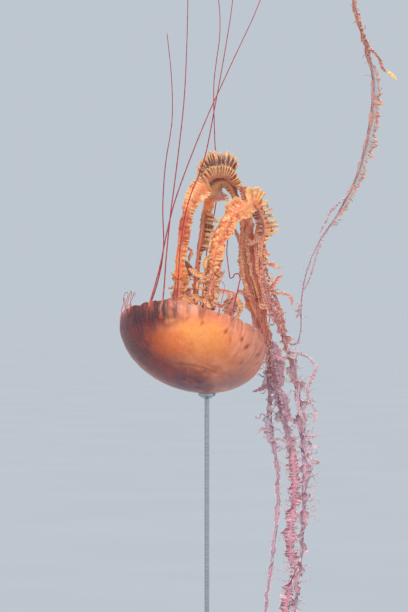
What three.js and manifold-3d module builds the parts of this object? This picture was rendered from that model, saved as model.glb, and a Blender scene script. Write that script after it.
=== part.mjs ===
// Sea nettle jellyfish (genus Chrysaora) at life size, in millimetres, +Z up, on a plain display stand.
// The animal swims crown down: the bell hangs like a tilted bowl with its mouth side up, four frilled oral
// arms rise out of it, fold over to the right and trail down behind it, and 24 thin tentacles stream upward.
// The origin is the centre of the underside of the stand's base. The front is -Y.
import * as THREE from "three";
import { mergeVertices } from "three/addons/utils/BufferGeometryUtils.js";
import Module from "manifold-3d";

const wasm = await Module();
wasm.setup();

// ---------------------------------------------------------------- driving dimensions
const GAP = 0.35; // clearance between pieces that touch
const DEG = Math.PI / 180;

const BELL = {
  centre: new THREE.Vector3(-50, 0, 659), // middle of the widest level
  radius: 127,
  depth: 88.5, // widest level to crown
  nod: -22 * DEG, // crown turned towards the front
  lean: 11.8 * DEG, // right side lower
  sway: 0.14, // the crown's drift to the right, as a share of the depth
  crownWall: 14,
  rimWall: 2.4,
  cut: 76 * DEG, // where the margin ring parts from the dome, measured from the crown
  cleft: 90.5 * DEG, // where the wall ends between two lappets
  lappet: 95 * DEG, // and at a lappet's tip
  lappets: 32,
  firstCleft: -130 * DEG,
};
const MANUBRIUM = { foot: 22, waist: 15, lip: 21, bottom: -72, top: -16, lobes: 4 };
// root and tip are radii. A tentacle starts a little clear of the wall and leaves it straight.
const TENTACLE = { root: 1.2, tip: 0.6, sides: 5, lift: 1.8, straight: 8, steps: 9, hookedSteps: 18 };
// The free tentacles close in on their gathering line over the hold length, and sway once per wave.
const SWEEP = { points: 7, hold: 120, wave: 45, sideShare: 0.6 };
// A wing is folded forwards by fold, and its frill swings it by frillShare of its reach, once per frillPitch.
const ARM = {
  step: 15, frillPitch: 56, frillShare: 0.3, rib: 5, edge: 1.2, fold: 0.35, lengths: 5, spread: 13,
  rootRise: 8, rootWing: 6,
};
const STAND = {
  width: 360, depth: 240, thick: 18, corner: 30, bevel: 2, rod: 4, pad: 15, padThick: 5, neck: 6,
  collar: 8, collarHeight: 3, collarSlope: 4,
};

// The corner of the mouth that each arm grows from, as an angle round the bell's axis.
const ARM_CORNERS = { oral_arm_a: 225, oral_arm_b: 135, oral_arm_c: 315, oral_arm_d: 45 };
// Stations along each arm, from just above the mouth to the tip: [x, y, z, left wing, right wing].
// Left and right are as seen from the front by someone who follows the arm.
const ARM_STATIONS = {
  oral_arm_a: [
    [-69, -22, 705, 8, 8], [-72, -28, 750, 7, 8], [-71, -31, 789, 8, 9], [-67, -32, 828, 7, 11],
    [-60, -32, 867, 9, 10], [-50, -30, 896, 10, 9], [-38, -27, 919, 14, 8], [-23, -22, 935, 20, 8],
    [-8, -15, 940, 26, 8], [10, -5, 938, 23, 8], [24, 6, 925, 13, 8], [35, 16, 905, 9, 8],
    [41, 23, 875, 10, 8], [45, 29, 838, 8, 9], [50, 34, 788, 8, 9], [63, 46, 725, 9, 9],
    [80, 61, 650, 9, 9], [82, 66, 580, 9, 15], [84, 58, 510, 9, 18], [95, 46, 430, 7, 9],
    [95, 36, 350, 6, 7], [83, 26, 260, 6, 6], [73, 19, 170, 6, 6], [75, 16, 80, 3, 3],
  ],
  oral_arm_b: [
    [-47, 14, 705, 9, 9], [-43, 15, 750, 8, 9], [-41, 14, 790, 6, 10], [-36, 13, 826, 6, 18],
    [-33, 13, 850, 6, 20], [-28, 12, 877, 6, 17], [-22, 12, 898, 8, 10], [-12, 15, 917, 10, 8],
    [4, 22, 921, 13, 8], [15, 28, 911, 12, 8], [24, 35, 892, 10, 8], [32, 42, 868, 8, 8],
    [37, 48, 832, 8, 8], [41, 52, 788, 8, 9], [54, 66, 718, 9, 9], [80, 88, 640, 9, 9],
    [94, 92, 570, 9, 9], [110, 80, 500, 10, 10], [126, 63, 425, 11, 11], [122, 52, 365, 11, 11],
    [118, 44, 310, 10, 11], [120, 37, 255, 10, 10], [111, 31, 190, 11, 11], [103, 22, 130, 10, 10],
    [101, 20, 76, 4, 4],
  ],
  oral_arm_c: [
    [-27, -28, 690, 9, 9], [-18, -35, 735, 11, 12], [-15, -38, 775, 10, 11], [-10, -39, 805, 10, 11],
    [-2, -38, 829, 11, 11], [9, -35, 848, 12, 12], [22, -29, 868, 12, 12], [36, -20, 884, 11, 10],
    [50, -8, 892, 12, 9], [61, 1, 888, 12, 9], [69, 6, 875, 15, 9], [72, 8, 855, 20, 9],
    [71, 8, 831, 18, 9], [68, 9, 805, 11, 9], [70, 14, 775, 10, 8], [77, 21, 735, 10, 8],
    [94, 32, 683, 12, 8], [114, 43, 630, 19, 8], [128, 49, 570, 22, 8], [134, 46, 505, 24, 8],
    [141, 38, 435, 20, 7], [140, 31, 370, 14, 7], [136, 26, 300, 10, 7], [129, 22, 235, 8, 7],
    [126, 16, 165, 7, 6], [127, 13, 95, 3, 3],
  ],
  oral_arm_d: [
    [-28, 20, 690, 9, 9], [-23, 28, 745, 8, 8], [-12, 33, 798, 8, 8],
    [3, 42, 842, 8, 8], [22, 53, 873, 8, 8], [46, 65, 886, 8, 7], [62, 74, 870, 10, 7],
    [67, 80, 833, 10, 7], [66, 85, 785, 11, 7], [77, 93, 735, 12, 7], [96, 104, 690, 11, 6],
    [112, 110, 655, 8, 5], [126, 113, 640, 5, 4], [136, 114, 662, 4, 4], [138, 114, 715, 4, 5],
    [146, 110, 765, 4, 5], [168, 104, 820, 3, 5], [202, 94, 873, 4, 7], [232, 84, 935, 5, 10],
    [251, 74, 1010, 6, 13], [258, 69, 1062, 6, 14], [259, 66, 1096, 6, 34], [255, 61, 1126, 6, 22],
    [248, 56, 1152, 7, 10], [233, 46, 1200, 7, 8],
    [224, 38, 1250, 6, 6], [222, 32, 1305, 3, 3],
  ],
};

// Routes of the tentacles that stream in the open, after their roots: [x, y, z]. The number is the cleft's.
const LONG_ROUTES = {
  0: [[-107, -70, 765], [-97, -58, 814], [-84, -48, 872], [-64, -40, 932], [-26, -28, 1028],
      [17, -16, 1123], [62, -4, 1222], [88, 2, 1300]],
  1: [[-94, -80, 790], [-87, -66, 862], [-79, -56, 925], [-70, -48, 1000], [-64, -42, 1060],
      [-60, -36, 1140], [-58, -32, 1220], [-58, -30, 1300]],
  2: [[-73, -78, 770], [-69, -60, 823], [-57, -52, 885], [-31, -44, 955], [-12, -36, 1048],
      [9, -22, 1166], [17, -15, 1220], [24, -8, 1300]],
  6: [[22, -84, 722], [28, -68, 746], [28, -58, 762], [19, -52, 768], [12, -44, 776], [8, -28, 800],
      [10, -8, 826], [12, 2, 855], [9, 4, 892]],
};
// Two follow one law: rising, they close in on a gathering line. [cleft, top z, gather x, gather y, sway]
const SWEPT = [[20, 1290, -8, 104, 6], [24, 1180, -88, 62, 6]];
// The rest are drawn in, and end in a curl: [cleft, rise, curl radius, side]
const SHORT = [
  [4, 62, 9, 1], [5, 48, 8, -1], [8, 54, 9, 1], [9, 34, 10, 1], [10, 58, 8, -1], [12, 30, 9, 1],
  [13, 24, 6, 1], [14, 30, 9, 1], [16, 52, 9, -1], [17, 38, 7, 1], [18, 72, 9, 1], [21, 46, 8, -1],
  [22, 78, 9, 1], [25, 44, 8, 1], [26, 66, 9, -1], [28, 26, 7, 1], [29, 32, 8, -1], [30, 22, 6, 1],
];
const TWO_LENGTHS = [0, 1, 2, 20, 24]; // clefts whose tentacle is made in two lengths
const HOOKED = 6; // the cleft whose tentacle hooks back on itself

const COLOURS = {
  bell: 0xd98a55, margin: 0xb87f74, arm: 0xe9b183, tentacle: 0x7c1f2a, base: 0x2c2d30, rod: 0xb8babd,
};

// ---------------------------------------------------------------- helpers
const { sin, cos, PI } = Math;
const V = (x, y, z) => new THREE.Vector3(x, y, z);
const paint = (hex, roughness, metalness = 0) =>
  new THREE.MeshStandardMaterial({ color: hex, roughness, metalness });
const FLESH = paint(COLOURS.bell, 0.35);
const RIM_FLESH = paint(COLOURS.margin, 0.35);
const ARM_FLESH = paint(COLOURS.arm, 0.4);
const TENTACLE_FLESH = paint(COLOURS.tentacle, 0.4);
const BASE_PAINT = paint(COLOURS.base, 0.5);
const STEEL = paint(COLOURS.rod, 0.3, 1);

function named(name, geometry, material) {
  const mesh = new THREE.Mesh(geometry, material);
  mesh.name = name;
  return mesh;
}

// A closed skin through rings of points. Each ring has the same count, and cap lists a ring's own triangles.
function loft(rings, cap) {
  const count = rings[0].length;
  const points = rings.flat().flatMap((p) => [p.x, p.y, p.z]);
  const faces = [];
  const at = (ring, i) => ring * count + (i % count);
  for (let ring = 0; ring + 1 < rings.length; ring++) {
    for (let i = 0; i < count; i++) {
      faces.push(at(ring, i), at(ring, i + 1), at(ring + 1, i + 1));
      faces.push(at(ring, i), at(ring + 1, i + 1), at(ring + 1, i));
    }
  }
  const last = rings.length - 1;
  for (const [a, b, c] of cap) {
    faces.push(at(0, c), at(0, b), at(0, a));
    faces.push(at(last, a), at(last, b), at(last, c));
  }
  return new THREE.BufferGeometry()
    .setAttribute("position", new THREE.Float32BufferAttribute(points, 3))
    .setIndex(faces);
}

const fanCap = (count) => Array.from({ length: count - 2 }, (_, i) => [0, i + 1, i + 2]);

// manifold-3d solid of a closed geometry, and back.
function toSolid(geometry) {
  const bare = geometry.clone();
  bare.deleteAttribute("normal");
  bare.deleteAttribute("uv");
  const merged = mergeVertices(bare, 1e-3);
  return new wasm.Manifold(
    new wasm.Mesh({
      numProp: 3,
      vertProperties: merged.attributes.position.array,
      triVerts: new Uint32Array(merged.index.array),
    }),
  );
}
function toGeometry(solid) {
  const mesh = solid.getMesh();
  return new THREE.BufferGeometry()
    .setAttribute("position", new THREE.BufferAttribute(mesh.vertProperties, 3))
    .setIndex(new THREE.BufferAttribute(mesh.triVerts, 1));
}

// ---------------------------------------------------------------- bell
const bellAxes = new THREE.Matrix4().makeRotationY(BELL.lean)
  .multiply(new THREE.Matrix4().makeRotationX(BELL.nod));
const bellTurn = bellAxes.clone().multiply(new THREE.Matrix4().makeShear(0, 0, 0, 0, -BELL.sway, 0));
const fromBell = (p) => p.applyMatrix4(bellTurn).add(BELL.centre);
const UP_AXIS = V(0, 0, 1).applyMatrix4(bellAxes); // out of the bell's mouth

const cleftAngle = (k) => BELL.firstCleft + (2 * PI * k) / BELL.lappets;
const wallAt = (theta) =>
  BELL.rimWall + (BELL.crownWall - BELL.rimWall) * (1 - (theta / BELL.lappet) ** 2);

// A point on the bell's outer wall, or inset from it, in the bell's own frame.
function wallPoint(theta, phi, inset = 0) {
  const [a, b] = [BELL.radius, BELL.depth];
  const out = new THREE.Vector2(sin(theta) / a, -cos(theta) / b).normalize();
  const r = a * sin(theta) - out.x * inset;
  const z = -b * cos(theta) - out.y * inset;
  return V(r * cos(phi), r * sin(phi), z);
}

// A ring round the bell's axis. profileAt gives its section at an angle, whose last point joins the first.
function ringSolid(profileAt, profileCount) {
  const columns = 2 * BELL.lappets;
  const points = [];
  const faces = [];
  for (let i = 0; i < columns; i++) {
    const phi = BELL.firstCleft + (PI * i) / BELL.lappets;
    for (const p of profileAt(phi, i % 2 === 0)) points.push(...fromBell(p).toArray());
  }
  const at = (i, j) => (i % columns) * profileCount + (j % profileCount);
  for (let i = 0; i < columns; i++) {
    for (let j = 0; j < profileCount; j++) {
      faces.push(at(i, j), at(i + 1, j), at(i + 1, j + 1));
      faces.push(at(i, j), at(i + 1, j + 1), at(i, j + 1));
    }
  }
  return new THREE.BufferGeometry()
    .setAttribute("position", new THREE.Float32BufferAttribute(points, 3))
    .setIndex(faces);
}

function bellDome() {
  const outer = [20, 40, 58, 76].map((d) => d * DEG);
  const inner = [76, 56, 34, 14].map((d) => d * DEG);
  const columns = 2 * BELL.lappets;
  const rows = [
    ...outer.map((t) => (phi) => wallPoint(t, phi)),
    ...inner.map((t) => (phi) => wallPoint(t, phi, wallAt(t))),
  ];
  const points = [];
  const faces = [];
  rows.forEach((row) => {
    for (let i = 0; i < columns; i++) {
      points.push(...fromBell(row(BELL.firstCleft + (PI * i) / BELL.lappets)).toArray());
    }
  });
  const at = (row, i) => row * columns + (i % columns);
  for (let row = 0; row + 1 < rows.length; row++) {
    for (let i = 0; i < columns; i++) {
      faces.push(at(row, i), at(row, i + 1), at(row + 1, i + 1));
      faces.push(at(row, i), at(row + 1, i + 1), at(row + 1, i));
    }
  }
  const crown = points.length / 3;
  points.push(...fromBell(V(0, 0, -BELL.depth)).toArray());
  points.push(...fromBell(V(0, 0, -BELL.depth + BELL.crownWall)).toArray());
  for (let i = 0; i < columns; i++) {
    faces.push(crown, at(0, i + 1), at(0, i));
    faces.push(crown + 1, at(rows.length - 1, i), at(rows.length - 1, i + 1));
  }
  return new THREE.BufferGeometry()
    .setAttribute("position", new THREE.Float32BufferAttribute(points, 3))
    .setIndex(faces);
}

function bellMargin() {
  const start = BELL.cut + GAP / BELL.depth;
  const middle = (BELL.cut + BELL.cleft) / 2;
  return ringSolid((phi, atCleft) => {
    const end = atCleft ? BELL.cleft : BELL.lappet;
    return [
      wallPoint(start, phi), wallPoint(middle, phi), wallPoint(end, phi),
      wallPoint(end, phi, BELL.rimWall), wallPoint(middle, phi, wallAt(middle)),
      wallPoint(start, phi, wallAt(start)),
    ];
  }, 6);
}

function manubrium() {
  const sides = 16;
  const { foot, waist, lip, bottom, top, lobes } = MANUBRIUM;
  const levels = [
    [bottom, foot, 0], [bottom + 16, waist, 0.1], [top - 10, waist + 2, 0.16], [top, lip, 0.22],
  ]; // height, radius, and how far the lobes stand out as a share of it
  const rings = levels.map(([z, radius, lobe]) =>
    Array.from({ length: sides }, (_, i) => {
      const phi = (2 * PI * i) / sides;
      const r = radius * (1 + lobe * cos(lobes * (phi - PI / 4)));
      return fromBell(V(r * cos(phi), r * sin(phi), z));
    }));
  return loft(rings, fanCap(sides));
}

// ---------------------------------------------------------------- oral arms
// Each arm is a folded ribbon: a thick rib with a frilled wing on either side.
function armNodes(name, route) {
  const corner = ARM_CORNERS[name] * DEG;
  const root = V(ARM.spread * cos(corner), ARM.spread * sin(corner), MANUBRIUM.top + GAP);
  const mouth = [0, ARM.rootRise].map((lift) => {
    const { x, y, z } = fromBell(root.clone()).addScaledVector(UP_AXIS, lift);
    return [x, y, z, ARM.rootWing, ARM.rootWing];
  });
  const stations = [...mouth, ...route];
  const path = new THREE.CatmullRomCurve3(stations.map(([x, y, z]) => V(x, y, z)), false, "centripetal");
  path.arcLengthDivisions = 600;
  const total = path.getLength();
  const wings = stations.map(([, , , left, right]) => [left, right]);
  const section = (share, phase) => {
    const centre = path.getPointAt(share);
    const along = path.getTangentAt(share);
    const place = path.getUtoTmapping(share) * (stations.length - 1);
    const i = Math.min(Math.floor(place), stations.length - 2);
    const [left, right] = [0, 1].map((side) =>
      THREE.MathUtils.lerp(wings[i][side], wings[i + 1][side], place - i));
    const side = along.clone().cross(V(0, 1, 0)).normalize();
    const front = along.clone().cross(side).normalize();
    const wave = ARM.frillShare * sin((2 * PI * share * total) / ARM.frillPitch + phase);
    const put = (s, f) => centre.clone().addScaledVector(side, s).addScaledVector(front, f);
    const tip = (sign, reach, swing) => [
      put(sign * reach, reach * (ARM.fold + swing) + ARM.edge / 2),
      put(sign * reach, reach * (ARM.fold + swing) - ARM.edge / 2),
    ];
    const [leftFront, leftBack] = tip(1, left, wave);
    const [rightFront, rightBack] = tip(-1, right, -wave);
    return [put(0, ARM.rib / 2), rightFront, rightBack, put(0, -ARM.rib / 2), leftBack, leftFront];
  };
  const cap = [[0, 1, 2], [0, 2, 3], [0, 3, 4], [0, 4, 5]];
  const meshes = [];
  for (let n = 0; n < ARM.lengths; n++) {
    const from = (n / ARM.lengths) * total + (n ? GAP / 2 : 0);
    const to = ((n + 1) / ARM.lengths) * total - (n + 1 < ARM.lengths ? GAP / 2 : 0);
    const steps = Math.round((to - from) / ARM.step);
    const rings = Array.from({ length: steps + 1 }, (_, i) =>
      section(Math.min(1, (from + ((to - from) * i) / steps) / total), corner));
    meshes.push(named(`${name}_${n + 1}`, loft(rings, cap), ARM_FLESH));
  }
  return meshes;
}

// ---------------------------------------------------------------- tentacles
const rootOf = (k) => {
  const phi = cleftAngle(k);
  const rim = fromBell(wallPoint(BELL.cleft, phi, BELL.rimWall / 2));
  return rim.addScaledVector(UP_AXIS, TENTACLE.lift);
};

function sweptRoute(k, top, gatherX, gatherY, sway) {
  const root = rootOf(k);
  return Array.from({ length: SWEEP.points }, (_, i) => {
    const rise = ((top - root.z) * (i + 1)) / SWEEP.points;
    const held = Math.exp(-rise / SWEEP.hold); // how much of the root's own place is left
    const swing = sway * sin(rise / SWEEP.wave + k);
    return V(gatherX + (root.x - gatherX) * held + swing,
      gatherY + (root.y - gatherY) * held + swing * SWEEP.sideShare, root.z + rise);
  });
}

function shortRoute(k, rise, curl, side) {
  const root = rootOf(k);
  const outward = V(cos(cleftAngle(k)), sin(cleftAngle(k)), 0).applyMatrix4(bellAxes);
  const across = UP_AXIS.clone().cross(outward).multiplyScalar(side);
  const top = root.clone().addScaledVector(UP_AXIS, rise);
  const bend = [0, 60, 120, 180, 225].map((d) => d * DEG);
  return [
    root.clone().addScaledVector(UP_AXIS, rise * 0.5).addScaledVector(outward, 2),
    ...bend.map((a) => top.clone().addScaledVector(across, curl * (1 - cos(a)))
      .addScaledVector(UP_AXIS, curl * sin(a)).addScaledVector(outward, 3 * sin(a / 2))),
  ];
}

function tentacleNodes(k, route, lengths, stepsPerLength) {
  const start = rootOf(k);
  const path = new THREE.CatmullRomCurve3(
    [start, start.clone().addScaledVector(UP_AXIS, TENTACLE.straight), ...route], false, "centripetal");
  path.arcLengthDivisions = 400;
  const total = path.getLength();
  const name = `tentacle_${String(k - Math.floor(k / 4) + 1).padStart(2, "0")}`;
  const meshes = [];
  for (let n = 0; n < lengths; n++) {
    const from = (n / lengths) * total + (n ? GAP / 2 : 0);
    const to = ((n + 1) / lengths) * total - (n + 1 < lengths ? GAP / 2 : 0);
    const rings = Array.from({ length: stepsPerLength + 1 }, (_, i) => {
      const share = Math.min(1, (from + ((to - from) * i) / stepsPerLength) / total);
      const centre = path.getPointAt(share);
      const along = path.getTangentAt(share);
      const side = along.clone().cross(V(0, 1, 0)).normalize();
      const front = along.clone().cross(side).normalize();
      const radius = THREE.MathUtils.lerp(TENTACLE.root, TENTACLE.tip, share);
      return Array.from({ length: TENTACLE.sides }, (_, j) => {
        const a = (2 * PI * j) / TENTACLE.sides;
        return centre.clone().addScaledVector(side, radius * cos(a)).addScaledVector(front, radius * sin(a));
      });
    });
    const suffix = lengths > 1 ? `_${n + 1}` : "";
    meshes.push(named(name + suffix, loft(rings, fanCap(TENTACLE.sides)), TENTACLE_FLESH));
  }
  return meshes;
}

// ---------------------------------------------------------------- stand
function standBase() {
  const { width, depth, thick, corner, bevel } = STAND;
  const [w, d, c] = [width / 2 - bevel, depth / 2 - bevel, corner];
  const shape = new THREE.Shape();
  shape.moveTo(-w + c, -d).lineTo(w - c, -d).absarc(w - c, -d + c, c, -PI / 2, 0)
    .lineTo(w, d - c).absarc(w - c, d - c, c, 0, PI / 2).lineTo(-w + c, d)
    .absarc(-w + c, d - c, c, PI / 2, PI).lineTo(-w, -d + c).absarc(-w + c, -d + c, c, PI, 1.5 * PI);
  const plate = new THREE.ExtrudeGeometry(shape, {
    depth: thick - 2 * bevel, bevelThickness: bevel, bevelSize: bevel, bevelSegments: 1, curveSegments: 5,
  });
  return plate.translate(0, 0, bevel);
}

// A rod that stands on the base on a small collar, and widens to a round pad at its top.
function standRod(x, y, top, padRadius) {
  const { thick, rod, padThick, neck, collar, collarHeight, collarSlope } = STAND;
  const foot = thick + GAP;
  const profile = [
    [0, foot], [collar, foot], [collar, foot + collarHeight], [rod, foot + collarHeight + collarSlope],
    [rod, top - padThick - neck], [padRadius, top - padThick], [padRadius, top], [0, top],
  ].map(([r, z]) => new THREE.Vector2(r, z));
  const lathe = new THREE.LatheGeometry(profile, 16);
  lathe.rotateX(PI / 2);
  return lathe.translate(x, y, 0);
}

function bellRod() {
  const { centre, radius, depth } = BELL;
  const outside = bellTurn.clone().scale(V(radius, radius, depth)); // carries a unit sphere to the outer wall
  const [, , xz, , , , yz, , , , zz] = outside.elements;
  const lowest = V(xz, yz, zz).normalize().negate().applyMatrix4(outside).add(centre);
  const wall = new THREE.SphereGeometry(1, 48, 36);
  wall.scale(radius + GAP, radius + GAP, depth + GAP);
  wall.applyMatrix4(bellTurn).translate(centre.x, centre.y, centre.z);
  const rod = toSolid(standRod(lowest.x, lowest.y, lowest.z + 2, STAND.pad));
  return toGeometry(rod.subtract(toSolid(wall)));
}

// ---------------------------------------------------------------- the whole animal
const jelly = new THREE.Group();
jelly.add(named("bell_dome", bellDome(), FLESH));
jelly.add(named("bell_margin", bellMargin(), RIM_FLESH));
jelly.add(named("manubrium", manubrium(), ARM_FLESH));
for (const [name, stations] of Object.entries(ARM_STATIONS)) jelly.add(...armNodes(name, stations));

const lengthsOf = (k) => (TWO_LENGTHS.includes(k) ? 2 : 1);
const { steps, hookedSteps } = TENTACLE;
for (const [key, route] of Object.entries(LONG_ROUTES)) {
  const k = Number(key);
  jelly.add(...tentacleNodes(k, route.map((p) => V(...p)), lengthsOf(k), k === HOOKED ? hookedSteps : steps));
}
for (const [k, ...law] of SWEPT) jelly.add(...tentacleNodes(k, sweptRoute(k, ...law), lengthsOf(k), steps));
for (const [k, ...law] of SHORT) jelly.add(...tentacleNodes(k, shortRoute(k, ...law), 1, steps));

const stand = new THREE.Group();
const lastOfB = ARM_STATIONS.oral_arm_b.at(-1);
stand.add(named("stand_base", standBase(), BASE_PAINT));
stand.add(named("stand_rod_bell", bellRod(), STEEL));
const armsRod = standRod(lastOfB[0], lastOfB[1], lastOfB[2] - GAP - 1, STAND.rod + 2);
stand.add(named("stand_rod_arms", armsRod, STEEL));

const model = new THREE.Group();
model.add(jelly, stand);
export default model;
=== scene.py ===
"""Looks of the life-size sea nettle jellyfish model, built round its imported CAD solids.

One skin each for the bell, the mouth, the four oral arms and the 24 tentacles replaces their solids. The arms
and tentacles follow the solids' own sections. Lobes, films and curling tapes, which are finer than the CAD,
grow from the arms. The stand keeps its CAD shapes under finished materials. Lengths are in millimetres until
a mesh is made, and angles in degrees in the tables.
"""
import itertools
import math

import bpy
import numpy as np
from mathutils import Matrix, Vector


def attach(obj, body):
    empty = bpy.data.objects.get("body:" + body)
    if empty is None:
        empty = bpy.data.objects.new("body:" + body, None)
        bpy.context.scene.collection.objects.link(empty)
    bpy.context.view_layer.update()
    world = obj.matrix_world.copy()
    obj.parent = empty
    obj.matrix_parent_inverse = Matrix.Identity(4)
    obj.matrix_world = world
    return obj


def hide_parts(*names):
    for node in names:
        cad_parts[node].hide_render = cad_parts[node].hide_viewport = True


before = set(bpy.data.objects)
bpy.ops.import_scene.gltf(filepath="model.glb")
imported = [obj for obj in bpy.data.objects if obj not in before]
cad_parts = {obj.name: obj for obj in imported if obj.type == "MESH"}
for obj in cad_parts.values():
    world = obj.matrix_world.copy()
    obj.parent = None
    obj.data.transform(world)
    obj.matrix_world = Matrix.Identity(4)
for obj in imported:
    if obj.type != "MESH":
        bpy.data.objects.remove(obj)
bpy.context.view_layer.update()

MM = 0.001
DEG = math.pi / 180
TAU = 2 * math.pi

# ------------------------------------------------------------------ the bell's frame, as in the CAD
BELL_CENTRE = np.array([-50.0, 0.0, 659.0])
BELL_RADIUS = 127.0
BELL_DEPTH = 88.5
NOD = -22 * DEG  # how far the bell tips towards the front
LEAN = 11.8 * DEG  # and to the side
SWAY = 0.14  # sideways shear along the bell's axis
CROWN_WALL = 14.0
RIM_WALL = 2.4
CLEFT = 90.5  # angle from the crown to the clefts between the lappets
LAPPET = 95.0  # and to the lappets' tips
CLEFT_DEPTH = 2.6
LAPPETS = 32
FIRST_CLEFT = -130.0  # angle round the bell


def turned(points):
    """Bell-frame directions in the world."""
    x, y, z = np.moveaxis(np.asarray(points, float), -1, 0)
    y, z = y * math.cos(NOD) - z * math.sin(NOD), y * math.sin(NOD) + z * math.cos(NOD)
    x, z = x * math.cos(LEAN) + z * math.sin(LEAN), -x * math.sin(LEAN) + z * math.cos(LEAN)
    return np.stack([x, y, z], -1)


def from_bell(points):
    """Bell-frame points in the world."""
    points = np.array(points, float)
    points[..., 0] -= SWAY * points[..., 2]
    return turned(points) + BELL_CENTRE


UP = turned([0, 0, 1])


def bell_wall(theta, phi, inset=0.0):
    """Points inset from the bell's outer wall, theta degrees from the crown and phi degrees round it."""
    theta, phi = theta * DEG, phi * DEG
    out_r = np.sin(theta) / BELL_RADIUS
    out_z = -np.cos(theta) / BELL_DEPTH
    size = np.hypot(out_r, out_z)
    r = BELL_RADIUS * np.sin(theta) - inset * out_r / size
    z = -BELL_DEPTH * np.cos(theta) - inset * out_z / size
    return np.stack([r * np.cos(phi), r * np.sin(phi), z + 0 * phi], -1)


# ------------------------------------------------------------------ small maths
def unit(v):
    return v / np.linalg.norm(v, axis=-1, keepdims=True)


def smooth(low, high, x):
    """0 up to low, 1 from high on, and a smooth step between them."""
    t = np.clip((x - low) / (high - low), 0, 1)
    return t * t * (3 - 2 * t)


def mix(a, b, share):
    return a + (b - a) * share


def hump(x):
    """1 at 0, falling to nothing by about 2 on both sides."""
    return np.exp(-(x**2))


def circle(angle):
    """Points of a circle of radius 1."""
    return np.stack([np.cos(angle), np.sin(angle)], -1)


def wander(x, scale, seed):
    """A smooth random line through about -1 to 1 that turns once per scale or so."""
    rng = np.random.default_rng(seed)
    line = np.zeros_like(x, float)
    for turns in (0.55, 0.8, 1.1, 1.6):
        line += np.sin(TAU * (x / scale * turns * rng.uniform(0.85, 1.15) + rng.uniform()))
    return line / 2.4


def hashed(cell):
    """A repeatable random number through -1 to 1 for each cell of whole numbers."""
    n = cell @ np.array([73856093, 19349663, 83492791])[: cell.shape[-1]] & 0x7FFFFFFF
    n = (n ^ (n >> 13)) * 1274126177 & 0x7FFFFFFF
    return ((n ^ (n >> 16)) & 0xFFFF) / 32767.5 - 1


def cloud(points, size, seed, octaves=2):
    """Smooth random lumps of a size, through about -1 to 1, at points in two or three dimensions."""
    total, weight = 0.0, 1.0
    for octave in range(octaves):
        scaled = points / size * 2.0**octave + 17.3 * octave + 5.7 * seed
        cell = np.floor(scaled).astype(np.int64)
        t = scaled - cell
        t = t * t * (3 - 2 * t)
        for corner in itertools.product((0, 1), repeat=scaled.shape[-1]):
            share = np.where(corner, t, 1 - t).prod(-1)
            total = total + weight * share * hashed(cell + corner)
        weight *= 0.55
    return total * 1.1


def spline(knots, values, at):
    """A smooth curve through values at the rising knots."""
    values = np.asarray(values, float)
    slopes = np.gradient(values, knots, axis=0)
    i = np.clip(np.searchsorted(knots, at, side="right") - 1, 0, len(knots) - 2)
    span = knots[i + 1] - knots[i]
    t = np.clip((at - knots[i]) / span, 0, 1)
    if values.ndim > 1:
        span, t = span[:, None], t[:, None]
    held = (1 + 2 * t) * (1 - t) ** 2 * values[i] + t * t * (3 - 2 * t) * values[i + 1]
    return held + span * (t * (1 - t) ** 2 * slopes[i] + t * t * (t - 1) * slopes[i + 1])


def keyed(keys, s):
    """Values along s of a table of {place: value}, eased between its places, or of a single value."""
    if not isinstance(keys, dict):
        return np.full(s.shape, float(keys))
    places, values = np.array(list(keys.items()), float).T
    i = np.clip(np.searchsorted(places, s, side="right") - 1, 0, len(places) - 2)
    return mix(values[i], values[i + 1], smooth(places[i], places[i + 1], s))


def linear(red, green, blue):
    """An sRGB colour of 0 to 255 as linear light."""
    c = np.array([red, green, blue]) / 255
    return np.where(c < 0.04045, c / 12.92, ((c + 0.055) / 1.055) ** 2.4)


def painted(colour, layers):
    """A colour under layers of (sRGB colour, share)."""
    for tint, share in layers:
        colour = mix(colour, linear(*tint), share)
    return colour


# ------------------------------------------------------------------ meshes
def closed_tube(grid):
    """Points and faces of a skin through a grid of rings. Two extra points close its ends."""
    rings, around = grid.shape[:2]
    points = np.concatenate([grid.reshape(-1, 3), [grid[0].mean(0)], [grid[-1].mean(0)]])
    i, j = np.meshgrid(np.arange(rings - 1) * around, np.arange(around), indexing="ij")
    k = (j + 1) % around
    quads = np.stack([i + j, i + k, i + around + k, i + around + j], -1).reshape(-1, 4)
    a = np.arange(around)
    b = (a + 1) % around
    last = (rings - 1) * around
    near = np.stack([b, a, np.full(around, rings * around)], -1)
    far = np.stack([last + a, last + b, np.full(around, rings * around + 1)], -1)
    return outward(points, quads, np.concatenate([near, far]))


def outward(points, quads, triangles):
    """The same skin with its faces turned outwards."""
    a, b, c, d = np.moveaxis(points[quads], 1, 0)
    volume = np.einsum("ij,ij->", a, np.cross(b, c)) + np.einsum("ij,ij->", a, np.cross(c, d))
    if volume < 0:
        return points, quads[:, ::-1], triangles[:, ::-1]
    return points, quads, triangles


def with_ends(field):
    """A field on a grid of rings, with a value for each of the skin's two end points."""
    flat = field.reshape((-1,) + field.shape[2:])
    return np.concatenate([flat, [field[0].mean(0)], [field[-1].mean(0)]])


def placed(name, data):
    """A new object in the scene."""
    obj = bpy.data.objects.new(name, data)
    bpy.context.scene.collection.objects.link(obj)
    return obj


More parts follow.
